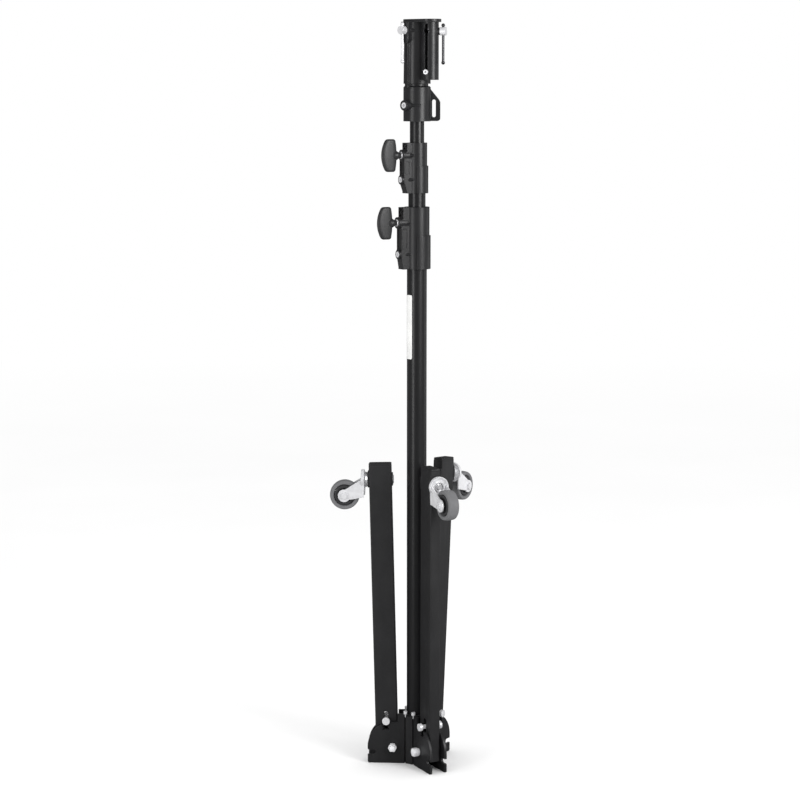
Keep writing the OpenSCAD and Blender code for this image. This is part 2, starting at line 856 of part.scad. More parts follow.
module upper_clamp_bolt() {
  clamp_bolt(upper_bolt_z, riser_1_radius, upper_block_reach);
}

// The frame of a knob: x out along its screw, from the end of the boss
module knob_frame(z, boss_end) {
  clamp_frame(z)
    translate([boss_end, 0, 0])
      children();
}

// The screw of a knob with its bright washer, ending just short of the bush
module knob_screw(z, boss_end, inside) {
  color("#c9cbd0")
    knob_frame(z, boss_end) {
      rod_x(knob_screw_diameter / 2, inside + 0.4 - boss_end, knob_washer + knob_neck);
      rod_x(6.2, side_gap, knob_washer);
    }
}

module lower_knob_screw() {
  knob_screw(lower_knob_z, lower_boss_end, riser_1_radius + running_fit + bush_wall);
}

module upper_knob_screw() {
  knob_screw(upper_knob_z, upper_boss_end, riser_2_radius + running_fit + bush_wall);
}

// The flat outline of a knob's wing: x along the screw, y across it
module wing_outline() {
  outer = (pow(knob_span / 2, 2) + pow(wing_front_bulge, 2)) / (2 * wing_front_bulge);
  inner = (pow(knob_span / 2, 2) + pow(wing_back_bulge, 2)) / (2 * wing_back_bulge);
  intersection() {
    translate([knob_width - outer, 0])
      circle(r = outer, $fn = 180);
    translate([inner, 0])
      circle(r = inner, $fn = 180);
    translate([0, -knob_span / 2])
      square([knob_width, knob_span]);
  }
}

// A moulded wing knob with its neck
module wing_knob(z, boss_end) {
  color("#1b1b1c")
    knob_frame(z, boss_end)
      translate([knob_washer, 0, 0])
        difference() {
          union() {
            rotate([0, 90, 0])
              cylinder(r1 = 5.4, r2 = 7.8, h = knob_neck);
            translate([knob_neck, 0, 0])
              rod_x(7.8, -0.01, 8);
            translate([knob_neck, 0, 0])
              upright(knob_thickness)
                wing_outline();
          }
          rod_x(knob_screw_diameter / 2 + fixed_fit, -1, knob_neck + 0.01);
        }
}

module lower_knob() {
  wing_knob(lower_knob_z, lower_boss_end);
}

module upper_knob() {
  wing_knob(upper_knob_z, upper_boss_end);
}

module riser_1() {
  color("#1c1c1e")
    tube(riser_1_radius, riser_1_radius - riser_wall, riser_1_top - riser_1_length, riser_1_top);
}

module riser_2() {
  color("#1c1c1e")
    tube(riser_2_radius, riser_2_radius - riser_wall, riser_2_top - riser_2_length, riser_2_top);
}

// The frame of the spigot: its axis, with x toward the azimuth given
module spigot_frame(azimuth) {
  translate([spigot_x, spigot_y, 0])
    rotate([0, 0, azimuth])
      children();
}

// The outline of the top flange: two discs and the tangents between them
module flange_outline() {
  a = acos((flange_radius - flange_small_radius) / spigot_reach);
  circle(r = flange_radius);
  translate([spigot_reach, 0])
    circle(r = flange_small_radius);
  polygon([[flange_radius * cos(a), flange_radius * sin(a)],
    [spigot_reach + flange_small_radius * cos(a), flange_small_radius * sin(a)],
    [spigot_reach + flange_small_radius * cos(a), -flange_small_radius * sin(a)],
    [flange_radius * cos(a), -flange_radius * sin(a)]]);
}

// The outline of the tie-off loop: x out from the axis, y up
module loop_outline() {
  corner = 5;
  top = hub_bottom + 33;
  difference() {
    union() {
      polygon([[hub_radius - 5, hub_bottom + 0.5], [loop_reach - corner, hub_bottom + 0.5],
        [loop_reach, hub_bottom + 0.5 + corner], [loop_reach, top],
        [loop_reach - 2.3, top + 4.6], [hub_radius - 2.4, hub_top - 2.5], [hub_radius - 5, hub_top - 2.5]]);
      translate([loop_reach - corner, hub_bottom + 0.5 + corner])
        circle(r = corner);
    }
    for (z = [hub_bottom + 10.2, hub_bottom + 34.3])
      translate([loop_reach - 10.9, z])
        circle(r = 3.2);
    translate([loop_reach - 14.1, hub_bottom + 10.2])
      square([6.4, 24.1]);
  }
}

// The cast head: hub, stud socket, spigot tube, flange, bosses and tie-off loop
module head() {
  color("#2b2b2e")
    difference() {
      union() {
        translate([0, 0, hub_bottom])
          cylinder(r = hub_radius, h = hub_height - hub_chamfer);
        translate([0, 0, hub_top - hub_chamfer])
          cylinder(r1 = hub_radius, r2 = hub_radius - hub_chamfer, h = hub_chamfer);
        // Groove between the hub and the socket
        translate([0, 0, hub_top - 1])
          cylinder(r = body_bottom_radius - head_groove, h = head_groove + 2);
        translate([0, 0, hub_top + head_groove])
          cylinder(r1 = body_bottom_radius, r2 = body_top_radius, h = flange_bottom - hub_top - head_groove + 1);
        spigot_frame(0)
          translate([0, 0, spigot_tube_bottom])
            cylinder(r = spigot_tube_radius, h = flange_bottom - spigot_tube_bottom + 1);
        rotate([0, 0, spigot_azimuth])
          translate([0, 0, flange_bottom])
            linear_extrude(height = flange_thickness)
              flange_outline();
        upright(loop_thickness)
          loop_outline();
        rotate([0, 0, head_screw_azimuth]) {
          // Boss of the socket screw, round at its foot
          translate([0, 0, t_screw_z - 14])
            rod_x(8.5, stud_radius + 2, socket_boss_end);
          translate([stud_radius + 2, -8.5, t_screw_z - 14])
            cube([socket_boss_end - stud_radius - 2, 17, flange_bottom - t_screw_z + 14.5]);
          // Rib from the hub up to the boss
          translate([stud_radius + 2, -3.5, hub_top - 3])
            cube([body_bottom_radius + 3.5 - stud_radius - 2, 7, t_screw_z - hub_top - 12]);
          translate([0, 0, t_screw_z])
            boss_ridges(socket_boss_end, 6, body_top_radius, 62);
          // Boss of the hub bolt
          translate([0, 0, hub_bolt_z])
            rod_x(9, riser_2_radius + 2, hub_boss_end);
          translate([0, 0, hub_bolt_z])
            boss_ridges(hub_boss_end, 7, hub_radius, 50);
          // Rib round the hub from the boss
          translate([0, 0, hub_bolt_z])
            rotate([0, 0, -hub_rib_angle])
              rotate_extrude(angle = 2 * hub_rib_angle)
                translate([hub_radius - 1, 0])
                  polygon([[0, -3], [1, -1.9], [2.1, -0.7], [2.1, 0.7], [1, 1.9], [0, 3]]);
        }
        // Collar of the spigot's screw
        spigot_frame(spigot_screw_azimuth)
          translate([0, 0, spigot_screw_z])
            rod_x(6.4, spigot_radius + 2, spigot_boss_end);
      }
      translate([0, 0, hub_bottom - 1])
        cylinder(r = riser_2_radius + fixed_fit, h = riser_2_top - hub_bottom + 1);
      translate([0, 0, head_top - stud_bore_depth])
        cylinder(r = stud_radius, h = stud_bore_depth + 1);
      spigot_frame(0)
        translate([0, 0, spigot_bottom - 0.5])
          cylinder(r = spigot_radius + running_fit, h = head_top - spigot_bottom + 2);
      // Guide slot with the hole that its screw goes in by
      spigot_frame(slot_azimuth) {
        translate([0, -guide_screw_diameter / 2 - running_fit, slot_low])
          cube([spigot_tube_radius + 5, guide_screw_diameter + 2 * running_fit, flange_bottom - slot_low - 3]);
        translate([0, 0, slot_low])
          rod_x(guide_screw_diameter / 2 + running_fit, 0, spigot_tube_radius + 5);
        translate([0, 0, keyhole_z])
          rod_x(guide_head_radius + 1.1, 0, spigot_tube_radius + 5);
      }
      rotate([0, 0, head_screw_azimuth]) {
        translate([0, 0, t_screw_z])
          rod_x(t_screw_diameter / 2 + running_fit, 0, socket_boss_end + 1);
        translate([0, 0, hub_bolt_z])
          rod_x(fixing_bolt_diameter / 2 + fixed_fit, 0, hub_boss_end + 1);
        translate([0, 0, hub_bolt_z])
          rod_x(bolt_head_radius + bolt_head_gap, hub_boss_end - bolt_head_depth, hub_boss_end + 1);
      }
      spigot_frame(spigot_screw_azimuth)
        translate([0, 0, spigot_screw_z])
          rod_x(t_screw_diameter / 2 + running_fit, 0, spigot_tube_radius + 7);
    }
}

// The bolt that fixes the head to the second riser
module head_bolt() {
  color("#c9cbd0")
    rotate([0, 0, head_screw_azimuth])
      translate([0, 0, hub_bolt_z])
        fixing_bolt(riser_2_radius, hub_boss_end);
}

// A T-screw along x, with the cross hole for its bar
module t_screw(tip, start) {
  color("#c9cbd0")
    difference() {
      union() {
        rod_x(t_screw_diameter / 2, tip, start + 1);
        rod_x(t_head_radius, start, start + t_head_length);
      }
      translate([start + t_head_length / 2, 0, -20])
        cylinder(r = bar_radius + running_fit, h = 40);
    }
}

// A tommy bar with ball ends that hangs from its upper ball
module tommy_bar() {
  color("#5c5e62") {
    translate([0, 0, t_head_radius + ball_radius - bar_length])
      cylinder(r = bar_radius, h = bar_length);
    for (z = [0, -bar_length])
      translate([0, 0, t_head_radius + ball_radius + z])
        sphere(r = ball_radius);
  }
}

module socket_screw() {
  rotate([0, 0, head_screw_azimuth])
    translate([0, 0, t_screw_z])
      t_screw(stud_radius + 0.2, socket_boss_end + 0.5);
}

module socket_bar() {
  rotate([0, 0, head_screw_azimuth])
    translate([socket_boss_end + 0.5 + t_head_length / 2, 0, t_screw_z])
      tommy_bar();
}

module spigot_screw() {
  spigot_frame(spigot_screw_azimuth)
    translate([0, 0, spigot_screw_z])
      t_screw(spigot_radius + 0.3, spigot_boss_end + 0.5);
}

module spigot_bar() {
  spigot_frame(spigot_screw_azimuth)
    translate([spigot_boss_end + 0.5 + t_head_length / 2, 0, spigot_screw_z])
      tommy_bar();
}

// The spigot, drawn back into its tube, with a groove near its top
module spigot() {
  color("#c9cbd0")
    difference() {
      spigot_frame(0)
        translate([0, 0, spigot_bottom])
          rotate_extrude()
            polygon([[0, 0], [spigot_radius - 0.8, 0], [spigot_radius, 0.8],
              [spigot_radius, spigot_length - 26], [spigot_radius - 1.5, spigot_length - 24.5],
              [spigot_radius - 1.5, spigot_length - 18.5], [spigot_radius, spigot_length - 17],
              [spigot_radius, spigot_length - 1.5], [spigot_radius - 1.5, spigot_length],
              [0, spigot_length]]);
      spigot_frame(slot_azimuth)
        translate([0, 0, slot_low])
          rod_x(guide_screw_diameter / 2 + fixed_fit, 2, spigot_radius + 2);
    }
}

// The screw that keeps the spigot in its slot
module spigot_guide_screw() {
  start = spigot_tube_radius + 0.3;
  color("#c9cbd0")
    spigot_frame(slot_azimuth)
      translate([0, 0, slot_low])
        difference() {
          union() {
            rod_x(guide_screw_diameter / 2, 2.2, start + 1);
            rod_x(guide_head_radius, start, start + 2.8);
          }
          rotate([0, 90, 0])
            translate([0, 0, start - 1.5])
              cylinder(r = guide_head_radius * 0.46, h = 6, $fn = 6);
        }
}

column();
column_plug();
base_socket();
hub_gussets();
hub_pins();
pivot_bolts();
pivot_nuts();
lower_clamp_body();
lower_clamp_bush();
lower_clamp_bolt();
lower_knob();
lower_knob_screw();
riser_1();
upper_clamp_body();
upper_clamp_bush();
upper_clamp_bolt();
upper_knob();
upper_knob_screw();
riser_2();
head();
head_bolt();
socket_screw();
socket_bar();
spigot_screw();
spigot_bar();
spigot();
spigot_guide_screw();
for (i = [1:3]) {
  leg_bracket(i);
  leg_tube(i);
  leg_cap(i);
  lock_spring(i);
  lock_pin(i);
  caster_strap(i);
  caster_plate(i);
  caster_fork(i);
  caster_axle(i);
  caster_wheel(i);
  caster_tyre(i);
}
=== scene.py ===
"""Studio stand: finishes, moulded pieces, label, floor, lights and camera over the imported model."""
import json
import math

import bpy
import numpy as np
from bpy.props import FloatProperty, FloatVectorProperty, IntProperty, PointerProperty
from bpy.types import Operator, Panel, PropertyGroup
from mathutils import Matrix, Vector


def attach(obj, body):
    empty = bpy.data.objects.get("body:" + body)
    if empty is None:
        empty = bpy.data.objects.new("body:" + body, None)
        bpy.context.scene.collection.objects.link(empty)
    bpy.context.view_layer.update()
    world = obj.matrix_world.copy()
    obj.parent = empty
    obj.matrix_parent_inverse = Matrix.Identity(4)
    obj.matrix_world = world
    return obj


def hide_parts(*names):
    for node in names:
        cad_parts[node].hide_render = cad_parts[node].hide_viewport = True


bl_info = {
    "name": "Studio Stand",
    "version": (1, 0, 0),
    "blender": (4, 5, 0),
    "location": "3D View > Sidebar > Studio Stand",
    "description": "Dresses the packed studio stand with finishes and moulded pieces, and sets up a studio",
    "category": "Object",
}

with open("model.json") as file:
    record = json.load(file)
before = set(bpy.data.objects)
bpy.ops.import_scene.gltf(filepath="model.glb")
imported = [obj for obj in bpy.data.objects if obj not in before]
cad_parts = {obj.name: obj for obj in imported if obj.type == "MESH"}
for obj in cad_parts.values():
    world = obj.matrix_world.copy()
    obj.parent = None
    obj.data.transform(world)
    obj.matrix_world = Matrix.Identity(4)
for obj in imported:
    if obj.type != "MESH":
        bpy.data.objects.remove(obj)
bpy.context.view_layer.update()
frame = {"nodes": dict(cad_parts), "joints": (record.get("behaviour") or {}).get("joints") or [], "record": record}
JOINTS = {joint["name"]: joint for joint in frame["joints"]}
LEGS = (1, 2, 3)


# Sizes and colours that a user would change

def length(name, description, default):
    """A length property in metres."""
    return FloatProperty(name=name, description=description, default=default, min=0.0, unit="LENGTH")


def angle(name, description, degrees):
    """An angle property, given in degrees and kept in radians."""
    return FloatProperty(name=name, description=description, default=math.radians(degrees), subtype="ANGLE")


def number(name, description, default):
    """A property that is a plain number."""
    return FloatProperty(name=name, description=description, default=default)


def colour(name, description, default):
    """A colour property."""
    return FloatVectorProperty(name=name, description=description, default=default, size=4, min=0.0,
                               max=1.0, subtype="COLOR")


class StandFinishes(PropertyGroup):
    """Colours of the stand's finishes."""

    tube_paint: colour("Tube paint", "Black paint on the column and risers", (0.007, 0.007, 0.0078, 1.0))
    leg_paint: colour("Leg paint", "Black paint on the legs", (0.014, 0.014, 0.015, 1.0))
    plate_paint: colour("Plate paint", "Black paint on the leg brackets", (0.013, 0.013, 0.014, 1.0))
    cast_coat: colour("Cast coat", "Black coat on the cast clamps and head", (0.012, 0.012, 0.013, 1.0))
    bright_zinc: colour("Bright zinc", "Plating on screws, pins and casters", (0.88, 0.88, 0.90, 1.0))
    # Darker than bare steel: the steel's own dark tone, deepened as painted shade for the spigot and its bar,
    # which sit in shadow
    dark_steel: colour("Dark steel", "Steel of the spigot and its bar", (0.10, 0.10, 0.105, 1.0))
    spring_steel: colour("Spring steel", "Wire of the lock springs", (0.42, 0.43, 0.45, 1.0))
    knob_plastic: colour("Knob plastic", "Moulded plastic of the wing knobs", (0.019, 0.019, 0.020, 1.0))
    cap_plastic: colour("Cap plastic", "Plastic of the leg caps and bushes", (0.012, 0.012, 0.013, 1.0))
    wheel_plastic: colour("Wheel plastic", "Dark plastic of the wheels", (0.009, 0.009, 0.010, 1.0))
    ring_plastic: colour("Ring plastic", "Rings on the wheels", (0.028, 0.028, 0.030, 1.0))
    tyre_rubber: colour("Tyre rubber", "Grey rubber of the tyres", (0.12, 0.12, 0.125, 1.0))
    label_vinyl: colour("Label vinyl", "The bare pale label on the column", (0.72, 0.72, 0.71, 1.0))


class StandSizes(PropertyGroup):
    """Sizes of the finished pieces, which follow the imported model."""

    lower_seat: length("Lower knob seat", "End of the lower knob's boss from the axis", 0.0400)
    upper_seat: length("Upper knob seat", "End of the upper knob's boss from the axis", 0.0315)
    washer: length("Knob washer", "Thickness of the bright washer under a knob", 0.0024)
    neck: length("Knob neck", "Length of a knob's neck", 0.0074)
    wing_width: length("Wing width", "Width of a knob's wing along its screw", 0.0294)
    wing_span: length("Wing span", "Span of a knob's wing across its screw", 0.0565)
    wing_thickness: length("Wing thickness", "Thickness of a knob's wing", 0.0095)
    wing_front: length("Wing front bulge", "How far a wing's outer side bulges", 0.009)
    wing_back: length("Wing back bulge", "How far a wing's inner side bulges", 0.0032)
    wing_fillet: length("Wing fillet", "Rounding of a wing's edges", 0.0034)
    wheel_radius: length("Wheel radius", "Radius over the tyre", 0.0265)
    rim_radius: length("Rim radius", "Radius of the wheel's core", 0.018)
    bore_radius: length("Bore radius", "Radius of the hole for the axle", 0.00405)
    tyre_width: length("Tyre width", "Width of the tyre", 0.020)
    bolt_radius: length("Pivot bolt radius", "Radius of the pivot bolts", 0.005)
    bolt_flats: length("Pivot bolt flats", "Width across flats of the pivot bolts and nuts", 0.0135)
    bolt_seat: length("Pivot bolt seat", "Outer face of a leg bracket from the leg's middle plane", 0.0165)
    cap_seat: length("Leg cap seat", "End of a leg tube from its pivot, along the leg", 0.511)
    leg_offset: length("Leg offset", "How far a leg's middle is outside its pivot", 0.0105)
    leg_depth: length("Leg depth", "Size of a leg tube outward from the column", 0.040)
    leg_width: length("Leg width", "Size of a leg tube along its pivot", 0.020)
    label_low: length("Label foot", "Height of the label's lower edge", 0.7327)
    label_high: length("Label top", "Height of the label's upper edge", 0.8456)
    label_inner: length("Label inner radius", "Radius of the label's back, just off the column", 0.01752)
    label_outer: length("Label outer radius", "Radius of the label's face", 0.01769)
    label_azimuth: angle("Label azimuth", "Direction of the label's middle", 220.0)
    label_half_turn: angle("Label half turn", "Half of the label's way round the column", 24.0)
    edge_round: length("Edge rounding", "Radius that the edges of painted parts seem to have", 0.0007)
    ring_steps: IntProperty(name="Ring steps", description="Points round a turned piece", default=96, min=24)


class StageSettings(PropertyGroup):
    """The camera, the floor and the lights."""

    lens: FloatProperty(name="Lens", description="Focal length of the camera", default=100.35, unit="CAMERA")
    distance: length("Distance", "Camera's distance from the column's axis along the floor", 3.902)
    height: length("Height", "Camera's height above the floor", 1.2114)
    azimuth: angle("Azimuth", "Camera's direction round the stand", 3.04)
    tilt: angle("Tilt", "How far the camera looks down", 8.063)
    pan: angle("Pan", "How far the camera looks to the left of the column", 0.434)
    floor_colour: colour("Floor colour", "Pale floor", (0.81, 0.81, 0.81, 1.0))
    floor_radius: length("Floor radius", "Radius of the floor", 9.0)
    fade_start: length("Fade start", "Where the floor starts to fade to white", 1.6)
    fade_end: length("Fade end", "Where the floor is white", 6.0)
    fill: number("Fill", "Brightness of the surround", 1.15)
    gloss_front: number("Gloss front", "Brightness of the front in gloss", 0.07)
    gloss_side: number("Gloss sides", "Brightness of the sides in gloss", 0.17)
    gloss_back: number("Gloss back", "Brightness of the back in gloss", 0.10)
    gloss_ceiling: number("Gloss ceiling", "Share of the gloss brightness left overhead", 0.35)
    left_light: number("Left light", "Power of the soft light on the left", 16.0)
    high_light: number("High light", "Power of the soft light by the head", 46.0)
    right_light: number("Right light", "Power of the soft light on the right", 4.5)


# Node helpers

class Web:
    """Adds nodes to one tree and joins them."""

    def __init__(self, tree):
        self.tree = tree
        tree.nodes.clear()

    def add(self, kind, **values):
        """A new node with these settings."""
        node = self.tree.nodes.new(kind)
        for key, value in values.items():
            setattr(node, key, value)
        return node

    def join(self, source, target):
        self.tree.links.new(source, target)

    def feed(self, socket, value):
        """Joins another node's output to the socket, or sets the socket's own value."""
        if isinstance(value, bpy.types.NodeSocket):
            self.join(value, socket)
        else:
            socket.default_value = value

    def maths(self, operation, a, b=0.0, clamp=False):
        """The result of a sum, product or other operation on two values."""
        node = self.add("ShaderNodeMath", operation=operation, use_clamp=clamp)
        self.feed(node.inputs[0], a)
        self.feed(node.inputs[1], b)
        return node.outputs[0]

    def scaled(self, tint, factor):
        """A colour times a factor."""
        node = self.add("ShaderNodeVectorMath", operation="SCALE")
        self.feed(node.inputs[0], tint)
        self.join(factor, node.inputs["Scale"])
        return node.outputs["Vector"]

    def stretched(self, vector, scale):
        """A place with its axes scaled, which draws a pattern out."""
        node = self.add("ShaderNodeMapping")
        node.inputs["Scale"].default_value = scale
        self.join(vector, node.inputs["Vector"])
        return node.outputs["Vector"]

    def noise(self, vector, scale, detail=3.0, rough=0.5):
        """A cloudy pattern."""
        node = self.add("ShaderNodeTexNoise")
        self.join(vector, node.inputs["Vector"])
        self.feed(node.inputs["Scale"], scale)
        node.inputs["Detail"].default_value = detail
        node.inputs["Roughness"].default_value = rough
        return node.outputs["Fac"]

    def spread(self, value, low, high, to_low=0.0, to_high=1.0):
        """The value carried from one range to another, and held at its ends."""
        node = self.add("ShaderNodeMapRange")
        self.join(value, node.inputs["Value"])
        self.feed(node.inputs["From Min"], low)
        self.feed(node.inputs["From Max"], high)
        self.feed(node.inputs["To Min"], to_low)
        self.feed(node.inputs["To Max"], to_high)
        return node.outputs["Result"]

    def mix(self, factor, a, b):
        """The first colour turned into the second as the factor goes to one."""
        node = self.add("ShaderNodeMix", data_type="RGBA")
        self.feed(node.inputs["Factor"], factor)
        self.feed(node.inputs["A"], a)
        self.feed(node.inputs["B"], b)
        return node.outputs["Result"]


def open_group(name, inputs, outputs):
    """A new shader node group with its sockets; returns its web, its input node and its output node."""
    tree = bpy.data.node_groups.new(name, "ShaderNodeTree")
    for label, kind, value in inputs:
        socket = tree.interface.new_socket(name=label, in_out="INPUT", socket_type=kind)
        socket.default_value = value
    for label, kind in outputs:
        tree.interface.new_socket(name=label, in_out="OUTPUT", socket_type=kind)
    web = Web(tree)
    return web, web.add("NodeGroupInput"), web.add("NodeGroupOutput")


def soft_edges_group():
    """Rounds the look of edges: the normal over a small radius, and a mask from how far it leans, which is
    one less the dot product of the two normals."""
    sharpness = 5.0
    web, given, out = open_group(
        "soft_edges", [("Radius", "NodeSocketFloat", 0.0007)],
        [("Normal", "NodeSocketVector"), ("Edge", "NodeSocketFloat")])
    bevel = web.add("ShaderNodeBevel", samples=6)
    web.join(given.outputs["Radius"], bevel.inputs["Radius"])
    geometry = web.add("ShaderNodeNewGeometry")
    dot = web.add("ShaderNodeVectorMath", operation="DOT_PRODUCT")
    web.join(bevel.outputs["Normal"], dot.inputs[0])
    web.join(geometry.outputs["Normal"], dot.inputs[1])
    lean = web.maths("SUBTRACT", 1.0, dot.outputs["Value"])
    web.join(bevel.outputs["Normal"], out.inputs["Normal"])
    web.join(web.maths("MULTIPLY", lean, sharpness, clamp=True), out.inputs["Edge"])
    return web.tree


def film_group():
    """A coat of paint or plastic: handling marks, a painted highlight that lightens the edges in patches, and a
    fine grain.
    """
    # The light grey of the painted highlight on the edges
    edge_highlight_colour = (0.16, 0.16, 0.165, 1.0)
    web, given, out = open_group(
        "coat_film",
        [("Colour", "NodeSocketColor", (0.02, 0.02, 0.02, 1)), ("Edge", "NodeSocketFloat", 0.0),
         ("Edge lift", "NodeSocketFloat", 0.6), ("Gloss", "NodeSocketFloat", 0.3),
         ("Gloss spread", "NodeSocketFloat", 0.08), ("Grain scale", "NodeSocketFloat", 900.0),
         ("Lump scale", "NodeSocketFloat", 60.0)],
        [("Colour", "NodeSocketColor"), ("Roughness", "NodeSocketFloat"), ("Height", "NodeSocketFloat")])
    place = web.add("ShaderNodeTexCoord").outputs["Object"]
    marks = web.noise(place, 14.0, detail=5.0, rough=0.6)
    rubs = web.noise(web.stretched(place, (40.0, 40.0, 6.0)), 1.6, detail=4.0, rough=0.55)
    fine = web.noise(place, given.outputs["Grain scale"], detail=2.0)
    lumps = web.noise(place, given.outputs["Lump scale"], detail=2.0)
    bright = web.scaled(given.outputs["Colour"], web.spread(marks, 0.3, 0.7, 0.82, 1.18))
    # Painted highlight: the rounded edges are mixed toward a light grey, in patches where the marks allow
    patchy = web.maths("MULTIPLY", given.outputs["Edge"], web.spread(marks, 0.42, 0.62), clamp=True)
    lift = web.maths("MULTIPLY", patchy, given.outputs["Edge lift"], clamp=True)
    web.join(web.mix(lift, bright, edge_highlight_colour), out.inputs["Colour"])
    swing = web.maths("MULTIPLY", web.spread(rubs, 0.3, 0.7, -1.0, 1.0), given.outputs["Gloss spread"])
    web.join(web.maths("ADD", given.outputs["Gloss"], swing, clamp=True), out.inputs["Roughness"])
    height = web.maths("ADD", web.maths("MULTIPLY", fine, 0.35), web.maths("MULTIPLY", lumps, 0.65))
    web.join(height, out.inputs["Height"])
    return web.tree


def plating_group():
    """Bright zinc: small spangles, drawn lines, a thin haze, and painted shade that darkens the edges."""
    edge_shade_colour = (0.20, 0.20, 0.21, 1.0)
    web, given, out = open_group(
        "bright_plating",
        [("Colour", "NodeSocketColor", (0.8, 0.8, 0.82, 1)), ("Edge", "NodeSocketFloat", 0.0),
         ("Gloss", "NodeSocketFloat", 0.24), ("Line scale", "NodeSocketFloat", 500.0)],
        [("Colour", "NodeSocketColor"), ("Roughness", "NodeSocketFloat"), ("Height", "NodeSocketFloat")])
    place = web.add("ShaderNodeTexCoord").outputs["Object"]
    haze = web.noise(place, 70.0, detail=4.0, rough=0.6)
    lines = web.noise(web.stretched(place, (1.0, 1.0, 0.08)), given.outputs["Line scale"], rough=0.6)
    spangles = web.add("ShaderNodeTexVoronoi")
    web.join(place, spangles.inputs["Vector"])
    spangles.inputs["Scale"].default_value = 420.0
    bright = web.scaled(given.outputs["Colour"], web.spread(haze, 0.3, 0.7, 0.88, 1.06))
    # Painted shade: the rounded edges are mixed toward a dark grey
    edge_shaded = web.mix(web.maths("MULTIPLY", given.outputs["Edge"], 0.7), bright, edge_shade_colour)
    web.join(edge_shaded, out.inputs["Colour"])
    rough = web.maths("ADD", given.outputs["Gloss"], web.spread(haze, 0.3, 0.7, -0.05, 0.09))
    grey = web.maths("MULTIPLY", spangles.outputs["Distance"], 0.05)
    web.join(web.maths("ADD", rough, grey, clamp=True), out.inputs["Roughness"])
    height = web.maths("ADD", web.maths("MULTIPLY", lines, 0.6), web.maths("MULTIPLY", haze, 0.4))
    web.join(height, out.inputs["Height"])
    return web.tree


def place_group(web, tree, **values):
    """Places a node group and feeds its inputs, whose names have a space for each underscore."""
    node = web.add("ShaderNodeGroup", node_tree=tree)
    for key, value in values.items():
        web.feed(node.inputs[key.replace("_", " ")], value)
    return node


def start_material(name):
    """A new material with its shader joined to its output; returns it with its web and its shader."""
    material = bpy.data.materials.new(f"stand_{name}")
    material.use_nodes = True
    web = Web(material.node_tree)
    shader = web.add("ShaderNodeBsdfPrincipled")
    out = web.add("ShaderNodeOutputMaterial")
    web.join(shader.outputs["BSDF"], out.inputs["Surface"])
    return material, web, shader


def finish_material(web, shader, film, edges, bump):
    """Joins a film or plating group to the shader, with its grain over the rounded edges."""
    web.join(film.outputs["Colour"], shader.inputs["Base Color"])
    web.join(film.outputs["Roughness"], shader.inputs["Roughness"])
    grain = web.add("ShaderNodeBump")
    grain.inputs["Strength"].default_value = 1.0
    grain.inputs["Distance"].default_value = bump
    web.join(film.outputs["Height"], grain.inputs["Height"])
    web.join(edges.outputs["Normal"], grain.inputs["Normal"])
    web.join(grain.outputs["Normal"], shader.inputs["Normal"])


def coat(groups, name, rounding, gloss, spread, bump, grain, lump, lift, clear):
    """A painted or moulded finish in the colour that has its name."""
    scene = bpy.context.scene
    material, web, shader = start_material(name)
    edges = place_group(web, groups["edges"], Radius=scene.stand_sizes.edge_round * rounding)
    # lift sets how far the painted highlight lightens the rounded edges
    film = place_group(web, groups["film"], Colour=getattr(scene.stand_finishes, name),
                       Edge=edges.outputs["Edge"], Edge_lift=lift, Gloss=gloss, Gloss_spread=spread,
                       Grain_scale=grain, Lump_scale=lump)
    finish_material(web, shader, film, edges, bump)
    shader.inputs["Coat Weight"].default_value = clear
    shader.inputs["Coat Roughness"].default_value = 0.12
    material["stand_finish"] = name
    return material


def plating(groups, name, tint, rounding, gloss, bump, metal):
    """A plated metal finish in the colour named tint."""
    scene = bpy.context.scene
    material, web, shader = start_material(name)
    edges = place_group(web, groups["edges"], Radius=scene.stand_sizes.edge_round * rounding)
    film = place_group(web, groups["plating"], Colour=getattr(scene.stand_finishes, tint),
                       Edge=edges.outputs["Edge"], Gloss=gloss)
    finish_material(web, shader, film, edges, bump)
    shader.inputs["Metallic"].default_value = metal
    material["stand_finish"] = name
    return material


# The painted and moulded finishes: name, share of the edge rounding, gloss and its spread, depth of the
# grain, scales of the grain and of the lumps, how far the edges are lightened by a painted highlight, weight of a
# clear coat
COATS = (
    ("tube_paint", 1.0, 0.32, 0.05, 0.00001, 700.0, 90.0, 0.25, 0.04),
    ("leg_paint", 1.0, 0.44, 0.07, 0.00004, 1200.0, 160.0, 0.35, 0.0),
    ("plate_paint", 0.7, 0.40, 0.08, 0.00004, 1100.0, 120.0, 0.6, 0.0),
    ("cast_coat", 1.5, 0.35, 0.05, 0.00004, 1500.0, 330.0, 0.35, 0.0),
    ("knob_plastic", 1.0, 0.42, 0.05, 0.00004, 2400.0, 700.0, 0.12, 0.0),
    ("cap_plastic", 1.0, 0.46, 0.05, 0.00004, 2200.0, 600.0, 0.12, 0.0),
    ("wheel_plastic", 1.0, 0.42, 0.06, 0.00003, 1800.0, 300.0, 0.0, 0.0),
    ("ring_plastic", 1.0, 0.45, 0.05, 0.00003, 1800.0, 300.0, 0.1, 0.0),
    ("tyre_rubber", 1.0, 0.62, 0.06, 0.00005, 1600.0, 260.0, 0.0, 0.0),
    ("label_vinyl", 0.2, 0.40, 0.04, 0.00001, 900.0, 60.0, 0.0, 0.0),
)

# The plated finishes: name, name of the colour, share of the edge rounding, gloss, depth of the lines, metal
PLATINGS = (
    ("bright_zinc", "bright_zinc", 0.9, 0.28, 0.000005, 0.5),
    ("pressed_zinc", "bright_zinc", 1.7, 0.24, 0.000005, 0.8),
    ("bolt_zinc", "bright_zinc", 0.9, 0.28, 0.000005, 0.25),
    # The dark steel's colour carries painted shade for the spigot and its bar
    ("dark_steel", "dark_steel", 0.6, 0.22, 0.000005, 1.0),
    ("spring_steel", "spring_steel", 0.3, 0.30, 0.00002, 1.0),
)

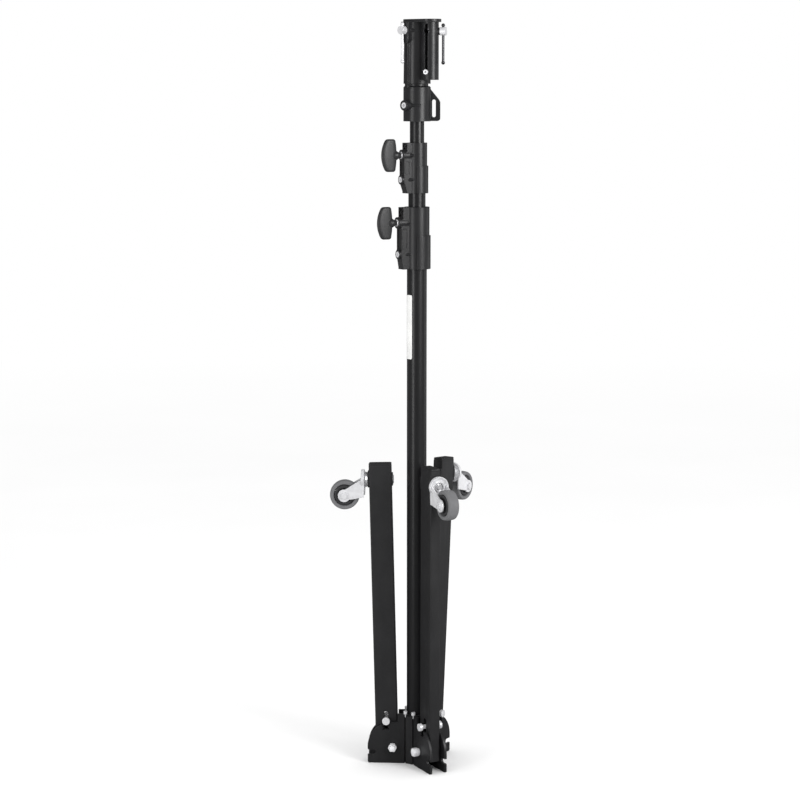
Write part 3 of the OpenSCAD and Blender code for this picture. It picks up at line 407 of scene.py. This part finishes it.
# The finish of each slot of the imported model, and of the nodes that differ from their slot
FINISH_OF_SLOT = {
    "tube_black": "tube_paint", "leg_black": "leg_paint", "plate_black": "plate_paint",
    "cast_black": "cast_coat", "zinc": "bright_zinc", "knob_plastic": "knob_plastic",
    "cap_plastic": "cap_plastic", "bush_plastic": "cap_plastic", "wheel_core": "wheel_plastic",
    "tyre_grey": "tyre_rubber", "spring_steel": "spring_steel",
}
# The spigot and its bar take the dark steel, whose colour carries painted shade
FINISH_OF_NODE = {"spigot": "dark_steel", "spigot_bar": "dark_steel",
                  **{f"caster_plate_{i}": "pressed_zinc" for i in LEGS}}


def finishes():
    """Every finish by its name, made once."""
    made = {m["stand_finish"]: m for m in bpy.data.materials if "stand_finish" in m}
    if made:
        return made
    groups = {"edges": soft_edges_group(), "film": film_group(), "plating": plating_group()}
    every = [coat(groups, *values) for values in COATS] + [plating(groups, *values) for values in PLATINGS]
    return {m["stand_finish"]: m for m in every}


# Surfaces, worked out as whole arrays

def axes(x, z):
    """A right-handed set of unit axes from an x direction and a z direction near square to it."""
    x = np.asarray(x, float)
    z = np.asarray(z, float)
    x = x / np.linalg.norm(x)
    y = np.cross(z, x)
    y = y / np.linalg.norm(y)
    return np.stack([x, y, np.cross(x, y)])


def placed(points, origin, frame_axes):
    """Points from a local frame into the model's: the origin plus each coordinate times its axis."""
    return np.asarray(points, float) @ frame_axes + np.asarray(origin, float)


def signed_volume(points, faces):
    """The faces' share of six times their shell's volume: each triangle's first corner times the cross
    product of the other two, summed. It is positive where they point outward."""
    a, b, c = (points[faces[:, k]] for k in (0, 1, 2))
    total = np.einsum("ij,ij->i", a, np.cross(b, c)).sum()
    if faces.shape[1] == 4:
        d = points[faces[:, 3]]
        total += np.einsum("ij,ij->i", a, np.cross(c, d)).sum()
    return total


def grid_quads(rows, columns):
    """The quads of a grid of points, with this many points each way."""
    row, col = np.meshgrid(np.arange(rows - 1), np.arange(columns - 1), indexing="ij")
    corner = row * columns + col
    return np.stack([corner, corner + columns, corner + columns + 1, corner + 1], -1).reshape(-1, 4)


def ring_quads(rings, around, closed=False):
    """The quads between rings of points, and from the last ring to the first where the shell is closed."""
    row, col = np.meshgrid(np.arange(rings if closed else rings - 1), np.arange(around), indexing="ij")
    below, beside = (row + 1) % rings, (col + 1) % around
    corners = [row * around + col, row * around + beside, below * around + beside, below * around + col]
    return np.stack(corners, -1).reshape(-1, 4)


def capped(rings):
    """A closed shell from rings: quads between the rings, and a fan to the middle of each end ring."""
    count, around = rings.shape[:2]
    points = np.concatenate([rings.reshape(-1, 3), rings[0].mean(0)[None], rings[-1].mean(0)[None]])
    quads = ring_quads(count, around)
    k = np.arange(around)
    n = (k + 1) % around
    first = np.stack([np.full(around, count * around), n, k], -1)
    last = (count - 1) * around
    final = np.stack([np.full(around, count * around + 1), last + k, last + n], -1)
    tris = np.concatenate([first, final])
    if signed_volume(points, quads) + signed_volume(points, tris) < 0:
        quads, tris = quads[:, ::-1], tris[:, ::-1]
    return points, [quads, tris]


def looped(rings):
    """A closed shell like a ring doughnut: quads round both ways."""
    points = rings.reshape(-1, 3)
    quads = ring_quads(*rings.shape[:2], closed=True)
    if signed_volume(points, quads) < 0:
        quads = quads[:, ::-1]
    return points, [quads]


def turns(steps):
    """Angles once round, without the last, which is the first again."""
    return np.linspace(0.0, 2.0 * np.pi, steps, endpoint=False)


def round_z(radii, angle, heights):
    """Points round the local z axis: the radius times the cosine and the sine of the angle, at the height."""
    radii, angle, heights = np.broadcast_arrays(radii, angle, heights)
    return np.stack([radii * np.cos(angle), radii * np.sin(angle), heights], -1)


def turned(radii, heights, steps):
    """Rings round the local z axis, one from each point of the profile."""
    return round_z(np.asarray(radii, float)[:, None], turns(steps), np.asarray(heights, float)[:, None])


def rounded_loop(power, steps):
    """A closed outline that reaches 1 each way: the cosine and the sine, each drawn out to a square by a
    power."""
    c, s = np.cos(turns(steps)), np.sin(turns(steps))
    return np.stack([np.sign(c) * np.abs(c) ** (2 / power), np.sign(s) * np.abs(s) ** (2 / power)], -1)


def add_piece(name, shells, body, replaced=(), sharp=40.0):
    """Makes one object from shells, each with its finish, and puts it on its body. Edges that turn by more
    than the sharp angle, in degrees, stay sharp."""
    made = finishes()
    points, corners, sizes, marks, names = [], [], [], [], []
    base = 0
    for (cloud, parts), finish in shells:
        if finish not in names:
            names.append(finish)
        for faces in parts:
            corners.append((faces + base).ravel())
            sizes.append(np.full(len(faces), faces.shape[1]))
            marks.append(np.full(len(faces), names.index(finish)))
        points.append(cloud)
        base += len(cloud)
    points = np.concatenate(points)
    corners, sizes, marks = np.concatenate(corners), np.concatenate(sizes), np.concatenate(marks)
    starts = np.concatenate([[0], np.cumsum(sizes)[:-1]])
    mesh = bpy.data.meshes.new(name)
    mesh.vertices.add(len(points))
    mesh.vertices.foreach_set("co", points.astype(np.float32).ravel())
    mesh.loops.add(len(corners))
    mesh.loops.foreach_set("vertex_index", corners.astype(np.int32))
    mesh.polygons.add(len(sizes))
    mesh.polygons.foreach_set("loop_start", starts.astype(np.int32))
    mesh.polygons.foreach_set("material_index", marks.astype(np.int32))
    mesh.update(calc_edges=True)
    mesh.validate()
    for finish in names:
        mesh.materials.append(made[finish])
    mesh.polygons.foreach_set("use_smooth", np.ones(len(mesh.polygons), bool))
    mesh.set_sharp_from_angle(angle=math.radians(sharp))
    piece = bpy.data.objects.new(name, mesh)
    bpy.context.scene.collection.objects.link(piece)
    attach(piece, body)
    if replaced:
        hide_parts(*replaced)
    return piece


# The stand's pieces

def wing_shell(sizes, origin, frame_axes):
    """The wing of a knob. Across its span the outer and the inner side follow circle arcs, so its middle and
    half width come from the two arcs; round it the section is a drawn-out ellipse. Toward both ends the
    section is drawn in by a quarter circle, which leaves flat ends with round edges."""
    squareness, end_turn, end_thinning = 2.8, np.radians(84.0), 0.12
    width, half, fillet = sizes.wing_width, sizes.wing_span / 2, sizes.wing_fillet
    outer = (half ** 2 + sizes.wing_front ** 2) / (2 * sizes.wing_front)
    inner = (half ** 2 + sizes.wing_back ** 2) / (2 * sizes.wing_back)
    turn = np.linspace(0.0, end_turn, 10)
    end = half - fillet + fillet * np.sin(turn)
    end_inset = fillet * (1.0 - np.cos(turn))
    middle = np.linspace(-1.0, 1.0, 41)[1:-1] * (half - fillet)
    high = np.concatenate([-end[::-1], middle, end])[:, None]
    inset = np.concatenate([end_inset[::-1], np.zeros(len(middle)), end_inset])[:, None]
    far = width - outer + np.sqrt(outer ** 2 - high ** 2)
    near = inner - np.sqrt(inner ** 2 - high ** 2)
    loop = rounded_loop(squareness, 72)
    x = (far + near) / 2 + ((far - near) / 2 - inset) * loop[:, 0]
    y = (sizes.wing_thickness / 2 * (1.0 - end_thinning * (high / half) ** 2) - inset) * loop[:, 1]
    rings = np.stack([x, y, np.broadcast_to(high, x.shape)], -1)
    return capped(placed(rings, origin, frame_axes))


def along_x(rings):
    """Rings made round z, laid down so that z becomes x."""
    return np.stack([rings[..., 2], rings[..., 0], rings[..., 1]], -1)


def make_knob(name, joint_name, seat, node, body):
    """A wing knob: the wing, and a neck whose radius grows with the square of the way to the wing. Inside the
    wing the neck ends in a dome, whose radius follows the root of a cosine and its height a sine."""
    sizes = bpy.context.scene.stand_sizes
    joint = JOINTS[joint_name]
    frame_axes = axes(joint["axis"], (0, 0, 1))
    out = np.array(Vector(joint["axis"]).normalized())
    start = np.array(joint["pos_m"]) + out * (seat + sizes.washer)
    waist, flare, chamfer = 0.0052, 0.0027, 0.0004
    dome_depth, dome_turn = 0.0095, 1.25
    way = np.linspace(0.0, 1.0, 14)
    dome = way[1:] * dome_turn
    radii = np.concatenate([[waist - 0.0006], waist + flare * way ** 2,
                            (waist + flare) * np.cos(dome) ** 0.5])
    heights = np.concatenate([[0.0], chamfer + (sizes.neck - chamfer) * way,
                              sizes.neck + dome_depth * np.sin(dome)])
    neck = capped(placed(along_x(turned(radii, heights, 64)), start, frame_axes))
    wing = wing_shell(sizes, start + out * sizes.neck, frame_axes)
    shells = [(wing, "knob_plastic"), (neck, "knob_plastic")]
    return add_piece(name, shells, body, [node], 60.0)


def make_wheel(i):
    """A wheel's core with its dark rings, and its tyre, each turned round the axle from a profile."""
    sizes = bpy.context.scene.stand_sizes
    joint = JOINTS[f"wheel_spin_{i}"]
    frame_axes = axes(JOINTS[f"caster_swivel_{i}"]["axis"], joint["axis"])
    centre = np.array(joint["pos_m"])
    steps = sizes.ring_steps
    rim, side = sizes.rim_radius, sizes.tyre_width / 2 - 0.0006
    hub = sizes.tyre_width / 2 + 0.0029
    ring_bore = 0.0127
    # The core's side: the hub's end and round edge, the hollow face, the step into the ring's groove, the rim
    core_r = [sizes.bore_radius, 0.0066, 0.0073, 0.0076, 0.0080, 0.0092,
              0.0118, 0.0124, 0.0126, ring_bore, rim - 0.0006, rim]
    core_z = [hub, hub, hub - 0.0003, hub - 0.0009, side + 0.0008, side - 0.0002,
              side - 0.0004, side - 0.0009, side - 0.0026, side - 0.0028, side - 0.0028, side - 0.0022]
    radii = np.array(core_r + core_r[::-1])
    heights = np.array(core_z + [-z for z in core_z[::-1]])
    core = looped(placed(turned(radii, heights, steps), centre, frame_axes))
    # The ring's section: up its inner side, over the round inner edge, across its face and down at the tyre
    ring_r = [ring_bore, ring_bore, 0.0131, 0.0141, 0.0163, rim - 0.0007, rim - 0.0002, rim - 0.0002]
    ring_z = np.array([side - 0.0026, side - 0.0007, side - 0.0003, side, side, side - 0.0003, side - 0.0008,
                       side - 0.0026])
    rings = [(looped(placed(turned(ring_r, way * ring_z, steps), centre, frame_axes)), "ring_plastic")
             for way in (1, -1)]
    add_piece(f"wheel_face_{i}", [(core, "wheel_plastic")] + rings, f"wheel_{i}", [f"caster_wheel_{i}"],
              35.0)
    # The tyre's section is a drawn-out ellipse with a fine moulding line round its crown
    squareness, line_high, line_wide, clearance = 3.4, 0.0002, 0.0003, 0.0004
    loop = rounded_loop(squareness, 72) / 2
    depth = sizes.wheel_radius - rim
    across = loop[:, 1] * sizes.tyre_width
    profile = rim + depth / 2 + loop[:, 0] * (depth - clearance)
    crown = np.where(loop[:, 0] > 0, line_high * np.exp(-(across / line_wide) ** 2), 0.0)
    tyre = looped(placed(turned(profile + crown, across, steps), centre, frame_axes))
    add_piece(f"tyre_skin_{i}", [(tyre, "tyre_rubber")], f"wheel_{i}", [f"caster_tyre_{i}"],
              60.0)


def hexagon(flats, steps):
    """The radius of a hexagon at each angle: half its width across flats over the cosine of the angle
    from the nearest flat."""
    return flats / 2 / np.cos((turns(steps) + np.pi / 6) % (np.pi / 3) - np.pi / 6)


def hex_shell(flats, low, high, origin, frame_axes, hole=0.0):
    """A hexagon head along z whose upper corners are cut by a cone: the top drops with the distance
    outside a circle that just touches the flats. The nut has a hole with a chamfer instead of a flat end."""
    steps, chamfer, hole_depth = 96, 0.0004, 0.0006
    edge = hexagon(flats, steps)
    face = flats / 2 * 0.93
    way = np.sign(high - low)
    drop = way * (edge - flats / 2 * 0.95) * 0.4
    rings = [(edge * 0.96, low), (edge, low + way * chamfer), (edge, high - drop),
             (edge * 0.985, high - drop * 0.86), (face, high)]
    if hole:
        rings += [(hole * 1.12, high), (hole, high - way * hole_depth)]
    stack = np.stack([round_z(radius, turns(steps), height) for radius, height in rings])
    return capped(placed(stack, origin, frame_axes))


def washer_shell(outer, low, high, origin, frame_axes):
    """A washer with rolled edges, turned round z."""
    roll = 0.0004
    rise = roll * np.sign(high - low)
    radii = [outer - roll, outer, outer, outer - roll]
    heights = [low, low + rise, high - rise, high]
    return capped(placed(turned(radii, heights, 72), origin, frame_axes))


def thread_shell(radius, low, high, origin, frame_axes):
    """A threaded end: the radius dips with a saw of the height and the angle, one turn for each pitch, and is
    drawn in over the last tenth."""
    pitch, depth, point = 0.0012, 0.0005, 0.0008
    rise = np.linspace(0.0, 1.0, 40)[:, None]
    height = low + (high - low) * rise
    phase = (np.abs(height - low) / pitch - turns(64) / (2 * np.pi)) % 1.0
    radii = radius - depth * (1.0 - np.abs(2.0 * phase - 1.0)) - point * np.clip((rise - 0.9) / 0.1, 0, 1)
    return capped(placed(round_z(radii, turns(64), height), origin, frame_axes))


def make_pivots():
    """The pivot bolts with washers and chamfered heads on one side, and the nuts on the other."""
    sizes = bpy.context.scene.stand_sizes
    radius, flats, seat = sizes.bolt_radius, sizes.bolt_flats, sizes.bolt_seat
    washer_radius, shank = radius + 0.0014, seat + 0.001
    washer, head_high, nut_high, end_low, end_high = 0.002, 0.0125, 0.011, 0.0108, 0.0136
    bolts, nuts = [], []
    for i in LEGS:
        joint = JOINTS[f"leg_fold_{i}"]
        place = np.array(joint["pos_m"]), axes((0, 0, 1), joint["axis"])
        bolts += [capped(placed(turned([radius, radius], [-shank, shank], 48), *place)),
                  hex_shell(flats, -seat - washer, -seat - head_high, *place),
                  washer_shell(washer_radius, -seat, -seat - washer, *place),
                  thread_shell(radius, seat + end_low, seat + end_high, *place)]
        nuts += [hex_shell(flats, seat + washer, seat + nut_high, *place, hole=radius),
                 washer_shell(washer_radius, seat, seat + washer, *place)]
    for kind, shells in (("bolt", bolts), ("nut", nuts)):
        finished = [(shell, "bolt_zinc") for shell in shells]
        add_piece(f"pivot_{kind}_set", finished, "base", [f"pivot_{kind}s"], 28.0)


def leg_axes(i):
    """A leg's own axes: x outward, y along its pivot, z up the leg, from its fold and its lock slide."""
    up = np.array(JOINTS[f"lock_pin_slide_{i}"]["axis"], float)
    tangent = np.array(JOINTS[f"leg_fold_{i}"]["axis"], float)
    return np.stack([np.cross(tangent, up), tangent, up]), np.array(JOINTS[f"leg_fold_{i}"]["pos_m"])


def make_leg_cap(i):
    """A leg's end cap: drawn-out ellipses stacked up the leg, each smaller than the last over a round
    shoulder. The lower ones are the plug inside the tube."""
    sizes = bpy.context.scene.stand_sizes
    frame_axes, origin = leg_axes(i)
    plug, squareness = 0.00152, 9.0
    # Up the leg: the plug with its chamfer, the rim on the tube's end, the cap's side, the round shoulder
    lift = np.array([-0.008, -0.0078, 0.0, 0.00001, 0.0003, 0.0006, 0.0022, 0.0036, 0.0040, 0.0043, 0.0045])
    inset = np.array([plug + 0.0001, plug, plug, 0.0003, 0.0, 0.0, 0.0, 0.0, 0.0002, 0.0005, 0.0011])
    loop = rounded_loop(squareness, 96)
    x = sizes.leg_offset + (sizes.leg_depth / 2 - inset)[:, None] * loop[:, 0]
    y = (sizes.leg_width / 2 - inset)[:, None] * loop[:, 1]
    rings = np.stack([x, y, np.broadcast_to((sizes.cap_seat + lift)[:, None], x.shape)], -1)
    shells = [(capped(placed(rings, origin, frame_axes)), "cap_plastic")]
    return add_piece(f"leg_end_cap_{i}", shells, f"leg_{i}", [f"leg_cap_{i}"], 50.0)


def make_label():
    """The bare label: a thin patch round the column. The way round grows evenly across it and the height
    evenly up it, and near its ends the way round is drawn in by a square, which rounds the corners."""
    sizes = bpy.context.scene.stand_sizes
    corner_start, corner_draw = 0.95, 0.16
    low, high = sizes.label_low, sizes.label_high
    a, b = np.meshgrid(np.linspace(-1.0, 1.0, 25), np.linspace(-1.0, 1.0, 49), indexing="ij")
    corner = np.clip((np.abs(b) - corner_start) / (1.0 - corner_start), 0, 1)
    turn = sizes.label_azimuth + a * sizes.label_half_turn * (1.0 - corner_draw * corner ** 2)
    height = (low + high) / 2 + b * (high - low) / 2
    points = np.concatenate([round_z(radius, turn, height).reshape(-1, 3)
                             for radius in (sizes.label_outer, sizes.label_inner)])
    n, m = a.shape
    quads = grid_quads(n, m)
    rim = np.concatenate([np.arange(m - 1), np.arange(1, n) * m - 1, n * m - 1 - np.arange(m - 1),
                          (n - 1 - np.arange(n - 1)) * m])
    ahead = np.roll(rim, -1)
    skirt = np.stack([rim, ahead, ahead + n * m, rim + n * m], -1)
    faces = np.concatenate([quads, quads[:, ::-1] + n * m, skirt])
    if signed_volume(points, faces) < 0:
        faces = faces[:, ::-1]
    return add_piece("column_label", [((points, [faces]), "label_vinyl")], "base", (), 30.0)


# Operators, one for each piece or group of like pieces

class STAND_OT_finishes(Operator):
    """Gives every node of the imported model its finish"""

    bl_idname = "stand.finishes"
    bl_label = "Finish the Packed Parts"

    def execute(self, context):
        made = finishes()
        slots = {entry["node"]: entry["material_slot"] for entry in frame["record"]["subparts"]}
        for name, part in frame["nodes"].items():
            part.data.materials.clear()
            part.data.materials.append(made[FINISH_OF_NODE.get(name) or FINISH_OF_SLOT[slots[name]]])
        return {"FINISHED"}


class STAND_OT_knobs(Operator):
    """Makes the two moulded wing knobs"""

    bl_idname = "stand.knobs"
    bl_label = "Make the Wing Knobs"

    def execute(self, context):
        sizes = context.scene.stand_sizes
        make_knob("lower_wing_knob", "lower_knob_turn", sizes.lower_seat, "lower_knob", "lower_knob_body")
        make_knob("upper_wing_knob", "upper_knob_turn", sizes.upper_seat, "upper_knob", "upper_knob_body")
        return {"FINISHED"}


class STAND_OT_wheels(Operator):
    """Makes the three wheels and their tyres"""

    bl_idname = "stand.wheels"
    bl_label = "Make the Wheels"

    def execute(self, context):
        for i in LEGS:
            make_wheel(i)
        return {"FINISHED"}


class STAND_OT_pivots(Operator):
    """Makes the pivot bolts and nuts of the legs"""

    bl_idname = "stand.pivots"
    bl_label = "Make the Pivot Bolts"

    def execute(self, context):
        make_pivots()
        return {"FINISHED"}


class STAND_OT_leg_caps(Operator):
    """Makes the plastic caps on the legs' ends"""

    bl_idname = "stand.leg_caps"
    bl_label = "Make the Leg Caps"

    def execute(self, context):
        for i in LEGS:
            make_leg_cap(i)
        return {"FINISHED"}


class STAND_OT_label(Operator):
    """Puts the bare pale label on the column"""

    bl_idname = "stand.label"
    bl_label = "Make the Label"

    def execute(self, context):
        make_label()
        return {"FINISHED"}


class STAND_OT_stage(Operator):
    """Sets up the floor, the surroundings, the soft lights and the camera"""

    bl_idname = "stand.stage"
    bl_label = "Set Up the Stage"

    def execute(self, context):
        stage = context.scene.stand_stage
        make_floor(stage)
        make_surroundings(stage)
        for name, power, side, height, width, tall in LIGHTS:
            make_light(name, stage, side, height, width, tall, getattr(stage, power))
        make_camera(stage)
        context.scene.view_settings.view_transform = "Standard"
        return {"FINISHED"}


# The stage

# The soft lights: name, name of the power, degrees round from the camera, height, width, size upward
LIGHTS = (
    ("left_soft_light", "left_light", -42.0, 1.0, 0.7, 1.9),
    ("high_soft_light", "high_light", 46.0, 1.65, 1.1, 1.4),
    ("right_soft_light", "right_light", 112.0, 1.25, 0.9, 2.4),
)
LIGHT_DISTANCE = 2.6


def toward_camera(stage):
    """The level direction from the column to the camera."""
    return Vector((math.sin(stage.azimuth), -math.cos(stage.azimuth), 0.0))


def swung(way, turn):
    """A level direction swung round the vertical: x cos - y sin, x sin + y cos."""
    c, s = math.cos(turn), math.sin(turn)
    return Vector((way.x * c - way.y * s, way.x * s + way.y * c, 0.0))


def gloss_strength(web, vector, stage):
    """How bright gloss rays find each level direction: brightest at the sides, dimmer behind the stand and
    darkest toward the camera. It follows the dot product with the level direction to the camera."""
    unit = web.add("ShaderNodeVectorMath", operation="NORMALIZE")
    web.join(vector, unit.inputs[0])
    dot = web.add("ShaderNodeVectorMath", operation="DOT_PRODUCT")
    web.join(unit.outputs["Vector"], dot.inputs[0])
    dot.inputs[1].default_value = toward_camera(stage)
    back = web.spread(dot.outputs["Value"], -1.0, 0.1, stage.gloss_back, stage.gloss_side)
    front = web.spread(dot.outputs["Value"], 0.1, 0.7, 0.0, stage.gloss_side - stage.gloss_front)
    return web.maths("SUBTRACT", back, front)


def make_floor(stage):
    """The pale floor, a disc worked out from its rings, which fades to white far out and is darker to gloss
    rays in front of the stand."""
    around, sink, inner = 96, 0.0002, (0.02, 0.25)
    radii = np.concatenate([inner[:1], np.linspace(inner[1], stage.floor_radius, 36)])
    points = turned(radii, np.full(len(radii), -sink), around)
    faces = ring_quads(len(radii), around)[:, ::-1]
    mesh = bpy.data.meshes.new("studio_floor")
    mesh.from_pydata(points.reshape(-1, 3).tolist(), [], faces.tolist() + [list(range(around))])
    mesh.update()
    floor = bpy.data.objects.new("studio_floor", mesh)
    bpy.context.scene.collection.objects.link(floor)
    material, web, shader = start_material("floor_paint")
    place = web.add("ShaderNodeTexCoord").outputs["Object"]
    shade = web.spread(web.noise(place, 1.4), 0.3, 0.7, 0.985, 1.015)
    tone = web.scaled(stage.floor_colour[:3], shade)
    dim = web.scaled(tone, gloss_strength(web, place, stage))
    gloss = web.add("ShaderNodeLightPath").outputs["Is Glossy Ray"]
    away = web.add("ShaderNodeVectorMath", operation="LENGTH")
    web.join(place, away.inputs[0])
    fade = web.spread(away.outputs["Value"], stage.fade_start, stage.fade_end)
    black, white, grey = ((level, level, level, 1.0) for level in (0.0, 1.0, 0.4))
    web.join(web.mix(fade, web.mix(gloss, tone, dim), black), shader.inputs["Base Color"])
    shader.inputs["Roughness"].default_value = 0.65
    shader.inputs["Specular IOR Level"].default_value = 0.0
    web.join(web.mix(gloss, white, grey), shader.inputs["Emission Color"])
    web.join(fade, shader.inputs["Emission Strength"])
    mesh.materials.append(material)


def make_surroundings(stage):
    """A white surround: plain to the camera, as bright as the fill to other rays, and dim to gloss rays."""
    world = bpy.data.worlds.new("studio")
    bpy.context.scene.world = world
    world.use_nodes = True
    web = Web(world.node_tree)
    out = web.add("ShaderNodeOutputWorld")
    light = web.add("ShaderNodeBackground")
    sight = web.add("ShaderNodeBackground")
    both = web.add("ShaderNodeMixShader")
    rays = web.add("ShaderNodeLightPath")
    place = web.add("ShaderNodeTexCoord").outputs["Generated"]
    level = web.add("ShaderNodeSeparateXYZ")
    web.join(place, level.inputs[0])
    ceiling = web.spread(level.outputs["Z"], 0.45, 0.85, 1.0, stage.gloss_ceiling)
    gloss = web.maths("MULTIPLY", gloss_strength(web, place, stage), ceiling)
    which = web.add("ShaderNodeMix", data_type="FLOAT")
    web.join(rays.outputs["Is Glossy Ray"], which.inputs["Factor"])
    which.inputs["A"].default_value = stage.fill
    web.join(gloss, which.inputs["B"])
    web.join(which.outputs["Result"], light.inputs["Strength"])
    for background in (light, sight):
        background.inputs["Color"].default_value = (1.0, 1.0, 1.0, 1.0)
    web.join(rays.outputs["Is Camera Ray"], both.inputs[0])
    web.join(light.outputs[0], both.inputs[1])
    web.join(sight.outputs[0], both.inputs[2])
    web.join(both.outputs[0], out.inputs["Surface"])


def make_light(name, stage, side, height, width, tall, power):
    """A soft light to the given side of the camera, in degrees, facing the column."""
    light = bpy.data.lights.new(name, "AREA")
    light.shape = "RECTANGLE"
    light.size, light.size_y = width, tall
    light.energy = power
    holder = bpy.data.objects.new(name, light)
    bpy.context.scene.collection.objects.link(holder)
    way = swung(toward_camera(stage), math.radians(side))
    holder.location = way * LIGHT_DISTANCE + Vector((0, 0, height))
    holder.rotation_mode = "QUATERNION"
    holder.rotation_quaternion = (-way).to_track_quat("-Z", "Y")


def make_camera(stage):
    """The camera where the photograph was taken, looking down instead of shifted."""
    data = bpy.data.cameras.new("photo_camera")
    data.lens = stage.lens
    data.sensor_width = 36.0
    data.clip_end = 60.0
    camera = bpy.data.objects.new("photo_camera", data)
    bpy.context.scene.collection.objects.link(camera)
    back = toward_camera(stage)
    camera.location = back * stage.distance + Vector((0, 0, stage.height))
    ahead = swung(-back, stage.pan) * math.cos(stage.tilt) - Vector((0, 0, math.sin(stage.tilt)))
    camera.rotation_mode = "QUATERNION"
    camera.rotation_quaternion = ahead.to_track_quat("-Z", "Y")
    bpy.context.scene.camera = camera


class STAND_PT_sidebar(Panel):
    """Lists the stand's operators and settings"""

    bl_label = "Studio Stand"
    bl_idname = "STAND_PT_sidebar"
    bl_space_type = "VIEW_3D"
    bl_region_type = "UI"
    bl_category = "Studio Stand"

    def draw(self, context):
        for kind in OPERATORS:
            self.layout.operator(kind.bl_idname)
        for settings in (context.scene.stand_finishes, context.scene.stand_sizes, context.scene.stand_stage):
            box = self.layout.box()
            for key in settings.__annotations__:
                box.prop(settings, key)


OPERATORS = (STAND_OT_stage, STAND_OT_finishes, STAND_OT_knobs, STAND_OT_wheels, STAND_OT_pivots,
             STAND_OT_leg_caps, STAND_OT_label)
CLASSES = (StandFinishes, StandSizes, StageSettings) + OPERATORS + (STAND_PT_sidebar,)


def register():
    for kind in CLASSES:
        bpy.utils.register_class(kind)
    bpy.types.Scene.stand_finishes = PointerProperty(type=StandFinishes)
    bpy.types.Scene.stand_sizes = PointerProperty(type=StandSizes)
    bpy.types.Scene.stand_stage = PointerProperty(type=StageSettings)


def unregister():
    del bpy.types.Scene.stand_stage
    del bpy.types.Scene.stand_sizes
    del bpy.types.Scene.stand_finishes
    for kind in reversed(CLASSES):
        bpy.utils.unregister_class(kind)


def main():
    register()
    bpy.ops.stand.stage()
    bpy.ops.stand.finishes()
    bpy.ops.stand.knobs()
    bpy.ops.stand.wheels()
    bpy.ops.stand.pivots()
    bpy.ops.stand.leg_caps()
    bpy.ops.stand.label()


if __name__ == "__main__":
    main()
